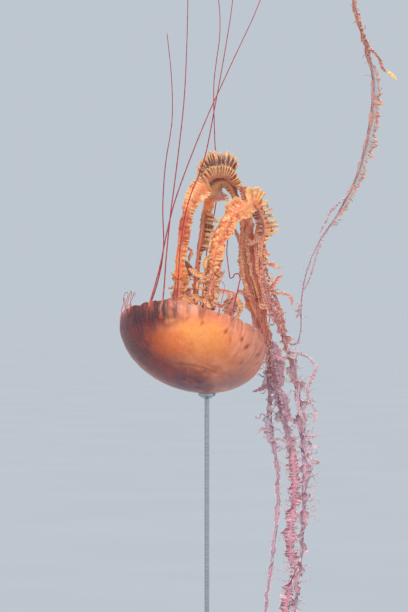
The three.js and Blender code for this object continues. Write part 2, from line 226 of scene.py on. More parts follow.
def piece(name, skins, material, nodes=()):
    """A piece from skins of (points, quads, triangles, fields), which stands for the given CAD nodes."""
    starts = np.cumsum([0] + [len(skin[0]) for skin in skins])
    points = np.concatenate([skin[0] for skin in skins])
    quads, triangles = (
        np.concatenate([skin[part] + start for skin, start in zip(skins, starts)]) for part in (1, 2)
    )
    corners = np.concatenate([quads.ravel(), triangles.ravel()]).astype(np.int32)
    sizes = np.concatenate([np.full(len(quads), 4), np.full(len(triangles), 3)])
    mesh = bpy.data.meshes.new(name)
    mesh.vertices.add(len(points))
    mesh.vertices.foreach_set("co", (points * MM).astype(np.float32).ravel())
    mesh.loops.add(len(corners))
    mesh.loops.foreach_set("vertex_index", corners)
    mesh.polygons.add(len(sizes))
    mesh.polygons.foreach_set("loop_start", (np.cumsum(sizes) - sizes).astype(np.int32))
    mesh.update(calc_edges=True)
    mesh.shade_smooth()
    for key in skins[0][3]:
        values = np.concatenate([skin[3][key] for skin in skins]).astype(np.float32)
        kind, member = ("FLOAT", "value") if values.ndim == 1 else ("FLOAT_VECTOR", "vector")
        mesh.attributes.new(key, kind, "POINT").data.foreach_set(member, values.ravel())
    mesh.materials.append(material)
    obj = placed(name, mesh)
    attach(obj, "root")
    if nodes:
        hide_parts(*nodes)


# ------------------------------------------------------------------ sections of the CAD's lofted nodes
def welded(node):
    """A CAD node's distinct points in millimetres, and for each the points that an edge joins it to."""
    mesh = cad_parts[node].data
    points = np.array([v.co for v in mesh.vertices]) / MM
    points, index = np.unique(np.round(points, 3), axis=0, return_inverse=True)
    index = index.ravel()
    joined = [set() for _ in points]
    for edge in mesh.edges:
        a, b = (int(index[v]) for v in edge.vertices)
        joined[a].add(b)
        joined[b].add(a)
    return points, joined


def sections(nodes, corners):
    """The rings, of so many corners each, of a chain of lofted nodes, from its end at the bell on."""
    rings = []
    for node in nodes:
        points, joined = welded(node)
        if rings:
            ring = {int(np.linalg.norm(points - p, axis=1).argmin()) for p in rings[-1]}
        else:
            ring = {int(i) for i in np.argsort(points @ UP)[:corners]}
        found, seen = [], set()
        while ring:
            found.append(points[sorted(ring)])
            seen |= ring
            ring = set().union(*(joined[i] for i in ring)) - seen
        rings += found[1:] if rings else found  # a length starts on the ring that the last one ends on
    return rings


def nodes_of(start):
    return sorted(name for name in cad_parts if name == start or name.startswith(start + "_"))


def along(points):
    """How far along a path each of its points lies."""
    return np.concatenate([[0], np.cumsum(np.linalg.norm(np.diff(points, axis=0), axis=1))])


def frames(centre):
    """The direction, left side and front of a path at each of its points."""
    ahead = unit(np.gradient(centre, axis=0))
    side = unit(np.cross(ahead, [0.0, 1.0, 0.0]))
    return ahead, side, np.cross(ahead, side)


def rolled(side, front, angle):
    """A path's side and front, turned about it by an angle at each point."""
    c, s = np.cos(angle)[:, None], np.sin(angle)[:, None]
    return side * c + front * s, front * c - side * s


ARM_CORNERS = 6  # of a section of an arm's solids: a close pair at each wing's tip, and two more at the rib
TENTACLE_CORNERS = 5


def arm_skeleton(name):
    """Centres, and left and right reaches, at the sections of an oral arm's solids."""
    centres, pairs = [], []
    for ring in sections(nodes_of(name), ARM_CORNERS):
        gap = np.linalg.norm(ring[:, None] - ring[None], axis=-1) + np.eye(ARM_CORNERS) * 1e3
        left = list(range(ARM_CORNERS))
        tips = []
        for _ in range(2):
            part = gap[np.ix_(left, left)]
            a, b = np.unravel_index(part.argmin(), part.shape)
            tips.append(ring[[left[a], left[b]]].mean(0))
            left = [left[n] for n in range(len(left)) if n not in (a, b)]
        centres.append(ring[left].mean(0))
        pairs.append(tips)
    centres = np.array(centres)
    _, side, _ = frames(centres)
    reach = [
        sorted(((tip - c) @ s for tip in tips), reverse=True) for c, s, tips in zip(centres, side, pairs)
    ]
    return centres, np.abs(np.array(reach))


# ------------------------------------------------------------------ frilled ribbons
FINE = np.array([0, 0.07, 0.14, 0.22, 0.3, 0.39, 0.48, 0.57, 0.66, 0.75, 0.83, 0.9, 0.96, 1.0])
COARSE = np.array([0, 0.2, 0.42, 0.64, 0.84, 1.0])  # places across a wing, from its rib to its edge
STEPS_PER_FRILL = 11
STEPS_PER_LUMP = 1.5  # steps to the millimetre where a ribbon is lumpy
EDGE_HALF = 0.3  # half a wing's thickness
LOOKS = {  # rib, film and edge colours, and how clear the film is
    "stem": ((255, 154, 96), (250, 142, 88), (255, 212, 146), 0.0),
    "flush": ((212, 102, 76), (208, 98, 74), (252, 172, 110), 0.0),
    "join": ((252, 170, 112), (246, 150, 100), (255, 204, 144), 0.0),
    "leg": ((236, 152, 122), (112, 60, 62), (255, 196, 142), 0.15),
    "limb": ((236, 152, 122), (214, 132, 108), (246, 174, 136), 0.0),
    "pane": ((255, 196, 140), (96, 66, 90), (206, 146, 128), 0.25),
    "tongue": ((255, 200, 146), (170, 112, 112), (255, 206, 160), 0.1),
    "comb": ((240, 150, 108), (156, 74, 62), (255, 200, 144), 0.0),
    "far": ((150, 88, 78), (84, 44, 50), (255, 188, 130), 0.08),
    "cream": ((246, 156, 102), (236, 132, 88), (255, 200, 134), 0.0),
    "frill": ((240, 158, 120), (196, 120, 102), (255, 198, 148), 0.25),
    "petal": ((252, 182, 132), (230, 152, 116), (255, 218, 162), 0.15),
    "cup": ((206, 136, 132), (144, 88, 98), (255, 206, 166), 0.1),
    "sinew": ((246, 176, 144), (226, 148, 118), (255, 206, 166), 0.0),
    "shell": ((230, 156, 140), (200, 128, 122), (255, 208, 172), 0.1),
    "band": ((222, 150, 130), (200, 130, 114), (250, 192, 158), 0.06),
    "dusk": ((160, 102, 98), (98, 60, 70), (244, 170, 140), 0.4),
    "veil": ((204, 144, 150), (182, 130, 146), (246, 198, 190), 0.7),
    "tail": ((190, 156, 178), (178, 146, 174), (240, 212, 224), 0.8),
    "curl": ((206, 154, 176), (192, 144, 172), (246, 212, 222), 0.4),
    "flame": ((200, 122, 108), (116, 80, 92), (252, 170, 124), 0.45),
    "trunk": ((184, 130, 122), (140, 96, 100), (236, 180, 158), 0.45),
    "glass": ((204, 168, 172), (150, 116, 130), (250, 166, 122), 0.85),
    "spark": ((252, 206, 130), (246, 176, 110), (255, 236, 176), 0.0),
    "thread": ((212, 182, 196), (206, 176, 194), (244, 220, 224), 0.4),
}
LOOKS = {name: (*(linear(*colour) for colour in colours), clear) for name, (*colours, clear) in LOOKS.items()}
WINGS = ("left", "right")
# A setting is a value or a table of {place along the ribbon: value}, for both wings or for one ("left_end").
# rib, core: half thickness and width of the rib. drop: how far it is moved to the right.
# base, end: the wing's angle at the rib, and how much more it bends up to its edge. loose: how far it strays.
# pitch, depth: length and height of the frills. meander: how far they lean to and fro. slow, slow_pitch: the
# height and length of long waves. stretch: the wing's width. tooth, ragged: how its edge goes in and out.
# pucker, strand: shares of lumps and of long grain in place of frills. lump: the lumps' size.
# edge, hold, shade: how bright the edge is, where painted highlights on folds start, how dark painted shade
# in hollows is.
# twist: how far the whole ribbon rolls.
DEFAULTS = {
    "base": 0, "end": 38, "pitch": 9, "depth": 2.0, "slow": 2.5, "slow_pitch": 46, "tooth": 0.08,
    "stretch": 1, "meander": 0.2, "ragged": 0.15, "loose": 12, "twist": 6, "pucker": 0, "strand": 0,
    "edge": 1, "hold": 0.12, "drop": 0, "rib": 2.3, "core": 3.6, "lump": 5, "shade": 0.85,
}
# painted shade: the share of red, green and blue that the hollows of the folds lose
HOLLOW_SHADE_TINT = np.array([0.45, 0.66, 0.6])  # what a hollow loses of its red, green and blue


def setting(keys, wing, key, s):
    """A setting at the places s along a ribbon, for one wing or, if wing is "", for the whole of it."""
    return keyed(keys.get(wing + "_" + key, keys.get(key, DEFAULTS[key])), s)


def stations(keys, total):
    """Places along a ribbon, close together where its frills or lumps are small."""
    s = np.arange(0, total, 1.0)
    pitch = np.minimum(*(setting(keys, wing, "pitch", s) for wing in WINGS))
    lumpy = np.maximum(*(setting(keys, wing, "pucker", s) for wing in WINGS))
    steps = np.cumsum(np.maximum(STEPS_PER_FRILL / pitch, STEPS_PER_LUMP * lumpy))
    s = np.interp(np.arange(steps[0], steps[-1]), steps, s)
    return np.append(s[s < total - 0.3], total)


def look_at(looks, number, s):
    """Rib, film and edge colours and clearness of a wing along a ribbon. A look may name two: left, right."""
    places = sorted(looks)
    chosen = [LOOKS[looks[place].split()[-number]] for place in places]
    values = np.array([[*rib, *film, *edge, clear] for rib, film, edge, clear in chosen])
    return np.stack([np.interp(s, places, column) for column in values.T], -1)


def wing_shape(keys, looks, number, seed, s, reach, fade, q):
    """A wing's points, as moves to the left, forward and ahead from its rib, and what its colours go by.

    s are places along the ribbon, q places across the wing, and reach and fade values for each of s.
    """
    name, sign, noise = WINGS[number], 1 - 2 * number, seed * 10 + number

    def at(key):
        return setting(keys, name, key, s)[:, None]

    def stray(scale, more):
        return wander(s, scale, noise + more)[:, None]

    depth, tooth, base, pucker, strand = (at(key) for key in ("depth", "tooth", "base", "pucker", "strand"))
    fade = fade[:, None]
    end = at("end") + at("loose") * stray(52, 9)
    pitch = at("pitch")
    phase = np.concatenate([[0], np.cumsum(TAU * np.diff(s) / pitch[1:, 0])])[:, None]
    phase = phase + 1.9 * stray(26, 0) + 0.8 * stray(8, 2) + seed
    r = reach[:, None] * at("stretch") * q
    r = r * (1 + at("ragged") * (stray(34, 11) + 0.6 * stray(13, 13)) * q)
    flat = np.stack(np.broadcast_arrays(s[:, None], sign * r), -1)
    lumps = cloud(flat, keys.get("lump", DEFAULTS["lump"]), seed)
    grain = cloud(flat / [9, 1], 3.0, seed + 5)
    warp = cloud(flat, 11.0, seed + 8 + number, 1)
    wave = np.sin(phase + 0.9 * q + 1.1 * warp * q)
    small = np.sin(2.6 * phase + 2.0 * q + 2 * warp) * smooth(0.55, 1, q)
    turns = TAU * s[:, None] / at("slow_pitch") + number * 2.1 + seed * 1.7
    long_wave = np.sin(turns + 1.3 * stray(90, 7) + 0.8 * q)

    r = r * (1 + tooth * wave * q * fade + 0.05 * small)
    r = r + 1.1 * pucker * lumps * smooth(0.7, 1, q)
    bend = (end - base) * DEG * q + 1e-3
    start = base * DEG
    out = r * (np.sin(start + bend) - np.sin(start)) / bend
    forward = r * (np.cos(start) - np.cos(start + bend)) / bend
    lively = np.maximum(1 + 0.5 * stray(31, 3), 0.1) * fade
    plain = 1 - pucker - strand
    lift = plain * (wave * q**1.25 + 0.3 * small) + pucker * lumps * mix(0.45, 1.1, q)
    lift = lively * depth * (lift + strand * grain * smooth(0, 0.2, q))
    lift = lift + fade * at("slow") * long_wave * q**1.3
    slide = -lively * at("meander") * pitch / 4 * np.sin(2 * phase + 1.8 * q) * q**1.4
    moves = sign * (out - np.sin(start + bend) * lift), forward + np.cos(start + bend) * lift, slide

    height = wave * plain + 1.3 * pucker * lumps + 0.8 * strand * grain
    return moves, {
        "height": height * smooth(0, 0.8, depth),
        "edge": at("edge") + 0 * q,
        "hold": at("hold") * (1 - pucker) + 0 * q,
        "plain": 1 - 0.8 * pucker + 0 * q,
        "patch": cloud(flat, 17.0, seed + 3),
        "tone": look_at(looks, number, s)[:, None] + 0 * q[..., None],
    }


def shade(looked, height, near_rib, q, strength):
    """Colour and cover of a ribbon's face: folds that stand out get a painted highlight, hollows painted
    shade.
    """
    rib, film, rim, clear = np.split(looked["tone"], [3, 6, 9], -1)
    # painted highlight on the folds that stand out, beside the wing's pale edge and pale patches
    fold_highlight = smooth(0.05, 0.9, height) * smooth(looked["hold"], looked["hold"] + 0.3, q)
    edge = smooth(0.84, 1, q) * looked["edge"]
    blotch = 0.45 * smooth(0.1, 0.8, looked["patch"]) * looked["edge"]
    bright = np.maximum(np.maximum(0.85 * fold_highlight, edge), blotch)[..., None]
    # painted shade in the hollows
    hollow = strength * smooth(0.1, 1.0, -height) * smooth(0, 0.3, q + 1 - looked["plain"])
    colour = mix(film, rim, bright) * (1 - hollow[..., None] * HOLLOW_SHADE_TINT)
    colour = mix(colour, rib, (near_rib * looked["plain"])[..., None])
    cover = 1 - clear[..., 0] * (1 - bright[..., 0]) * (1 - near_rib) * smooth(0.1, 0.4, q)
    return colour, cover


def ribbon(centre, reach, keys, looks, seed, wing_places=FINE):
    """A frilled ribbon's skin: two wings on a rib, along a path and with a reach to its left and right."""
    length = along(centre)
    total = length[-1]
    s = stations(keys, total)
    path = spline(length, centre, s)
    reach = np.maximum(spline(length, reach, s), 0.5)
    ahead, side, front = frames(path)
    path = path - side * setting(keys, "", "drop", s)[:, None]
    side, front = rolled(side, front, setting(keys, "", "twist", s) * DEG * wander(s, 110, seed + 40))
    fade = smooth(-2, 14, s) * smooth(-2, 26, total - s)
    looked = {}
    for number in (0, 1):
        moves, shown = wing_shape(keys, looks, number, seed, s, reach[:, number], fade, wing_places[None])
        shown["middle"] = path[:, None]
        for axis, move in zip((side, front, ahead), moves):
            shown["middle"] = shown["middle"] + axis[:, None] * move[..., None]
        for key, values in shown.items():
            looked.setdefault(key, []).append(values if number else values[:, :0:-1])
    looked = {key: np.concatenate(parts, 1) for key, parts in looked.items()}

    # a thickness on both faces, from the left wing's edge to the right one's and back
    middle = looked["middle"]
    across = np.concatenate([-wing_places[:0:-1], wing_places])
    normal = unit(np.cross(np.gradient(middle, axis=1), np.gradient(middle, axis=0)))
    normal *= np.sign((normal[:, len(wing_places) - 1] * front).sum(-1).mean())
    q = np.abs(across)[None]
    reach = np.where(across[None] < 0, reach[:, :1], reach[:, 1:])
    near_rib = hump(q * reach / setting(keys, "", "core", s)[:, None])
    rib = setting(keys, "", "rib", s) * mix(0.3, 1, smooth(0, 30, total - s))
    half = EDGE_HALF + 0.12 * smooth(0.8, 1, q) + rib[:, None] * near_rib
    half = (half * smooth(-1, 6, total - s)[:, None])[..., None]
    strength = setting(keys, "", "shade", s)[:, None]
    faces = [shade(looked, toward * looked["height"], near_rib, q, strength) for toward in (1, -1)]
    tone, cover = (np.concatenate([facing, away[:, ::-1]], 1) for facing, away in zip(*faces))
    place = np.stack([s[:, None] * MM + 0 * q, across[None] * reach * MM, 0 * reach], -1)
    place = np.concatenate([place, place[:, ::-1]], 1)
    skin = closed_tube(np.concatenate([middle + normal * half, (middle - normal * half)[:, ::-1]], 1))
    return *skin, {"tone": with_ends(tone), "cover": with_ends(cover), "place": with_ends(place)}


# Settings and looks of the oral arms. Their places count from 12 mm inside the mouth.
ARMS = {
    "oral_arm_a": {
        "rib": {0: 5.5, 40: 4.2, 180: 3.6, 280: 2.6, 460: 2, 640: 1.8, 900: 1.4},
        "right_pitch": {0: 9, 235: 8, 290: 5.2, 395: 5.2, 430: 12, 700: 13},
        "left_pitch": {0: 14, 240: 6, 290: 5.2, 380: 5.2, 430: 14, 700: 13},
        "left_depth": {0: 0.5, 225: 0.7, 262: 1.5, 300: 1.8, 360: 1.8, 400: 0.8, 430: 1.2, 660: 1.2,
            740: 1.8, 860: 1, 960: 0.4},
        "right_depth": {245: 2, 268: 0.6, 296: 1.4, 385: 1.4, 430: 1.2, 660: 1.5, 740: 2.6, 860: 1,
            960: 0.4},
        "left_pucker": {100: 0.6, 150: 0.2, 230: 0.5, 265: 0.5, 290: 0},
        "right_pucker": {100: 0.6, 140: 0.4, 240: 0.4, 258: 0.9, 290: 0.5, 305: 0},
        "left_strand": {100: 0.2, 150: 0.75, 215: 0.4, 245: 0, 400: 0, 450: 0.8, 640: 0.6, 720: 0},
        "right_strand": {400: 0, 450: 0.8, 640: 0.6, 720: 0},
        "left_edge": {0: 0.8, 130: 0.6, 170: 0.3, 215: 0.4, 250: 1, 420: 1, 460: 0.6, 680: 1},
        "right_edge": {420: 1, 460: 0.6, 680: 1},
        "right_base": {284: 0, 304: 112, 372: 112, 400: 0},
        "right_end": {0: 45, 262: 8, 284: 8, 304: 172, 372: 172, 405: 45, 700: 130, 900: 60},
        "left_base": {280: 0, 310: -14, 372: -14, 400: 0},
        "left_end": {0: 75, 225: 60, 262: 0, 310: -26, 372: -26, 420: 40, 700: 150, 900: 60},
        "right_stretch": {84: 3.2, 112: 2.3, 150: 1.1, 232: 1.15, 258: 1.7, 272: 2.5, 294: 2.6, 308: 2.9,
            352: 2.9, 378: 2.2, 395: 0.6, 425: 0.6, 455: 1.3, 480: 1.5, 640: 1.4, 700: 1, 900: 0.7},
        "left_stretch": {84: 2.6, 112: 1.8, 150: 1.1, 262: 1.15, 290: 1.2, 312: 1.8, 336: 1.7, 350: 1.95,
            360: 2.1, 367: 0.8, 395: 0.5, 425: 0.5, 455: 1.3, 480: 1.5, 640: 1.4, 700: 1.1, 900: 0.7},
        "left_hold": {285: 0.12, 308: 0.55, 362: 0.55, 385: 0.12, 680: 0.12, 730: 0.5},
        "right_hold": {680: 0.12, 730: 0.5},
        "left_tooth": 0.05,
        "tooth": {0: 0.1, 290: 0.06, 700: 0.08},
        "drop": {265: 0, 305: 11, 362: 11, 400: 0},
        "slow": {0: 0.8, 250: 0.6, 400: 0.8, 640: 2, 740: 4, 900: 2},
        "slow_pitch": {600: 60, 740: 46},
        "ragged": {280: 0.1, 310: 0.04, 380: 0.04, 420: 0.1, 640: 0.14, 740: 0.26},
        "loose": {0: 6, 660: 14, 740: 90, 900: 50},
        "twist": {0: 3, 640: 6, 760: 50},
        "lump": 5.5,
        "shade": {400: 0.85, 440: 0.4, 640: 0.4, 740: 0.3},
        "looks": {104: "frill", 134: "stem", 160: "stem", 190: "flush", 228: "flush", 248: "join",
            290: "join", 304: "far comb", 366: "far comb", 384: "dusk comb", 405: "band", 640: "band",
            700: "veil", 800: "tail"},
    },
    "oral_arm_b": {
        "rib": {0: 5.5, 40: 3.6, 150: 3.2, 250: 3, 420: 2.2, 1100: 1.5},
        "right_pitch": {220: 9, 290: 8, 500: 13, 640: 16, 760: 10, 830: 7},
        "left_pitch": {360: 12, 420: 13, 640: 16, 760: 10, 830: 7},
        "right_depth": {176: 0.8, 190: 3, 232: 3, 246: 1.4, 270: 0.1, 302: 0.1, 320: 1, 440: 1.4, 640: 1,
            780: 1.4, 840: 2.6},
        "left_depth": {0: 0.3, 250: 0.2, 350: 0.2, 390: 1.2, 440: 1.4, 640: 1, 780: 1.4, 840: 2.6},
        "right_tooth": {176: 0.06, 190: 0.34, 232: 0.34, 248: 0.06, 290: 0.05, 720: 0.1},
        "left_tooth": {360: 0.02, 440: 0.08, 720: 0.1},
        "right_stretch": {0: 0.8, 100: 0.55, 176: 0.55, 190: 1.2, 230: 1.2, 244: 0.7, 262: 0.9, 280: 3.6,
            296: 4, 308: 1.2, 350: 0.6, 400: 0.6, 440: 1.3, 460: 1.5, 620: 1.4, 700: 1.1, 860: 1.3},
        "left_stretch": {0: 0.8, 100: 0.7, 160: 0.6, 245: 0.7, 275: 1.3, 320: 1.2, 350: 0.6, 400: 0.6,
            440: 1.3, 460: 1.5, 620: 1.4, 720: 1, 860: 1.3},
        "end": {0: 34, 268: 20, 320: 30, 640: 38, 730: 90},
        "strand": {0: 0.7, 130: 0.2, 160: 0, 380: 0, 420: 0.7, 620: 0.6, 700: 0},
        "pucker": {0: 0.2, 140: 0, 234: 0, 244: 0.7, 264: 0.7, 276: 0, 700: 0, 760: 0.25},
        "slow": {0: 0.5, 600: 1.5, 720: 3, 860: 2.2},
        "slow_pitch": {600: 60, 720: 40, 860: 34},
        "meander": {170: 0.2, 190: 1, 232: 1, 248: 0.2, 650: 0.2, 720: 0.6},
        "ragged": {170: 0.1, 190: 0.34, 232: 0.34, 248: 0.1, 640: 0.14, 720: 0.3},
        "hold": {660: 0.12, 700: 0.5, 770: 0.5, 830: 0.2},
        "shade": {350: 0.8, 400: 0.4, 640: 0.4, 740: 0.3},
        "loose": {0: 6, 640: 14, 730: 60},
        "twist": {0: 3, 640: 6, 740: 30},
        "edge": {0: 0.6, 150: 1, 420: 1, 460: 0.6, 680: 1},
        "looks": {0: "stem", 90: "limb leg", 234: "limb leg", 248: "join", 264: "join", 274: "pane tongue",
            345: "pane tongue", 365: "band", 540: "band", 610: "veil", 680: "tail", 770: "tail",
            830: "curl"},
    },
    "oral_arm_c": {
        "rib": {0: 5.5, 40: 4, 240: 3.6, 300: 2.6, 440: 1.8, 1100: 1.3},
        "pitch": {0: 7, 235: 6.5, 255: 5.4, 308: 5.4, 322: 9, 370: 9, 450: 13, 600: 18},
        "depth": {0: 2.4, 235: 2.2, 255: 2, 306: 2, 320: 3.4, 364: 3.4, 384: 1.2, 450: 1.4, 600: 1.7},
        "right_depth": {0: 2.4, 235: 1.8, 262: 0.6, 340: 0.9, 366: 0.9, 384: 0.4, 440: 0.6, 600: 2},
        "left_pucker": {0: 0.9, 232: 0.85, 255: 0.55, 306: 0.55, 322: 0},
        "right_pucker": {0: 0.9, 240: 0.8, 275: 0.3, 345: 0},
        "strand": {420: 0, 460: 0.5, 540: 0.2, 600: 0},
        "left_base": {240: 0, 262: -10, 390: -10, 430: 0},
        "left_end": {0: 40, 235: 30, 262: -6, 400: -6, 450: 30, 600: 110},
        "right_end": {0: 40, 235: 36, 262: 16, 345: 16, 400: 50, 450: 30, 600: 120},
        "left_stretch": {0: 1.15, 180: 1.3, 240: 1.25, 252: 1.8, 262: 2.4, 273: 2.2, 280: 0.6, 285: 0.6,
            291: 2.1, 304: 2.1, 316: 1.3, 330: 0.95, 364: 0.9, 382: 0.4, 450: 0.45, 600: 0.8},
        "right_stretch": {0: 1.15, 180: 1.3, 238: 1.3, 270: 1.7, 330: 1.6, 370: 1, 410: 0.65, 540: 0.65,
            600: 1},
        "left_hold": {240: 0.1, 262: 0.3, 340: 0.35, 400: 0.12, 540: 0.12, 600: 0.5},
        "drop": {240: 0, 268: 7, 325: 7, 360: 0},
        "slow": {0: 1, 220: 0.8, 420: 1, 560: 4, 640: 6},
        "slow_pitch": {500: 50, 600: 40},
        "left_tooth": {0: 0.08, 245: 0.04, 306: 0.04, 320: 0.42, 364: 0.42, 382: 0.1, 560: 0.08},
        "right_tooth": {0: 0.08, 245: 0.04, 440: 0.06},
        "meander": {306: 0.25, 322: 0.8, 366: 0.8, 390: 0.25, 600: 0.5},
        "ragged": {0: 0.1, 440: 0.14, 560: 0.34},
        "hold": {540: 0.12, 600: 0.5},
        "loose": {0: 8, 440: 14, 560: 60},
        "twist": {0: 4, 440: 8, 600: 34},
        "lump": 4.4,
        "shade": {0: 1, 500: 0.7, 600: 0.3},
        "looks": {0: "stem", 64: "frill", 130: "frill", 165: "cream", 312: "cream", 326: "comb dusk",
            366: "comb dusk", 384: "comb band", 410: "comb band", 460: "veil", 560: "veil", 680: "tail"},
    },
    "oral_arm_d": {
        "rib": {0: 5.5, 40: 3.4, 160: 2.8, 430: 1.6, 540: 0.5, 1040: 0.5, 1100: 1},
        "core": {500: 3.6, 560: 1.3, 1050: 1.1, 1100: 2.6},
        "pitch": {0: 7, 240: 6, 410: 6, 490: 10, 800: 13},
        "depth": {210: 1.6, 260: 2, 410: 2, 510: 1.2, 800: 1.4, 900: 2.2},
        "left_depth": {210: 1.6, 260: 2, 410: 2, 510: 0.8, 800: 0.4},
        "right_end": {880: 40, 960: 20, 1100: 40},
        "right_stretch": {500: 1, 560: 0.4, 740: 0.4, 800: 1.1, 960: 1.3, 1009: 1.2, 1040: 0.5, 1074: 0.3,
            1110: 0.6},
        "right_hold": {500: 0.12, 560: 0.6, 1080: 0.6, 1120: 0.2},
        "right_tooth": {0: 0.08, 800: 0.1, 900: 0.22},
        "left_stretch": {500: 1, 545: 0.3, 700: 0.1, 1060: 0.1, 1110: 0.55},
        "slow": {0: 1, 480: 1.2, 700: 1.6, 900: 3},
        "ragged": {0: 0.14, 500: 0.2},
        "loose": {0: 8, 500: 40, 1000: 30},
        "twist": {0: 4, 500: 26, 880: 12, 1000: 4},
        "left_edge": {0: 1, 800: 0.7},
        "shade": {0: 0.8, 500: 0.3},
        "looks": {0: "stem", 200: "comb", 410: "dusk", 520: "veil", 600: "tail", 770: "tail", 830: "glass",
            1060: "glass", 1100: "trunk"},
    },
}

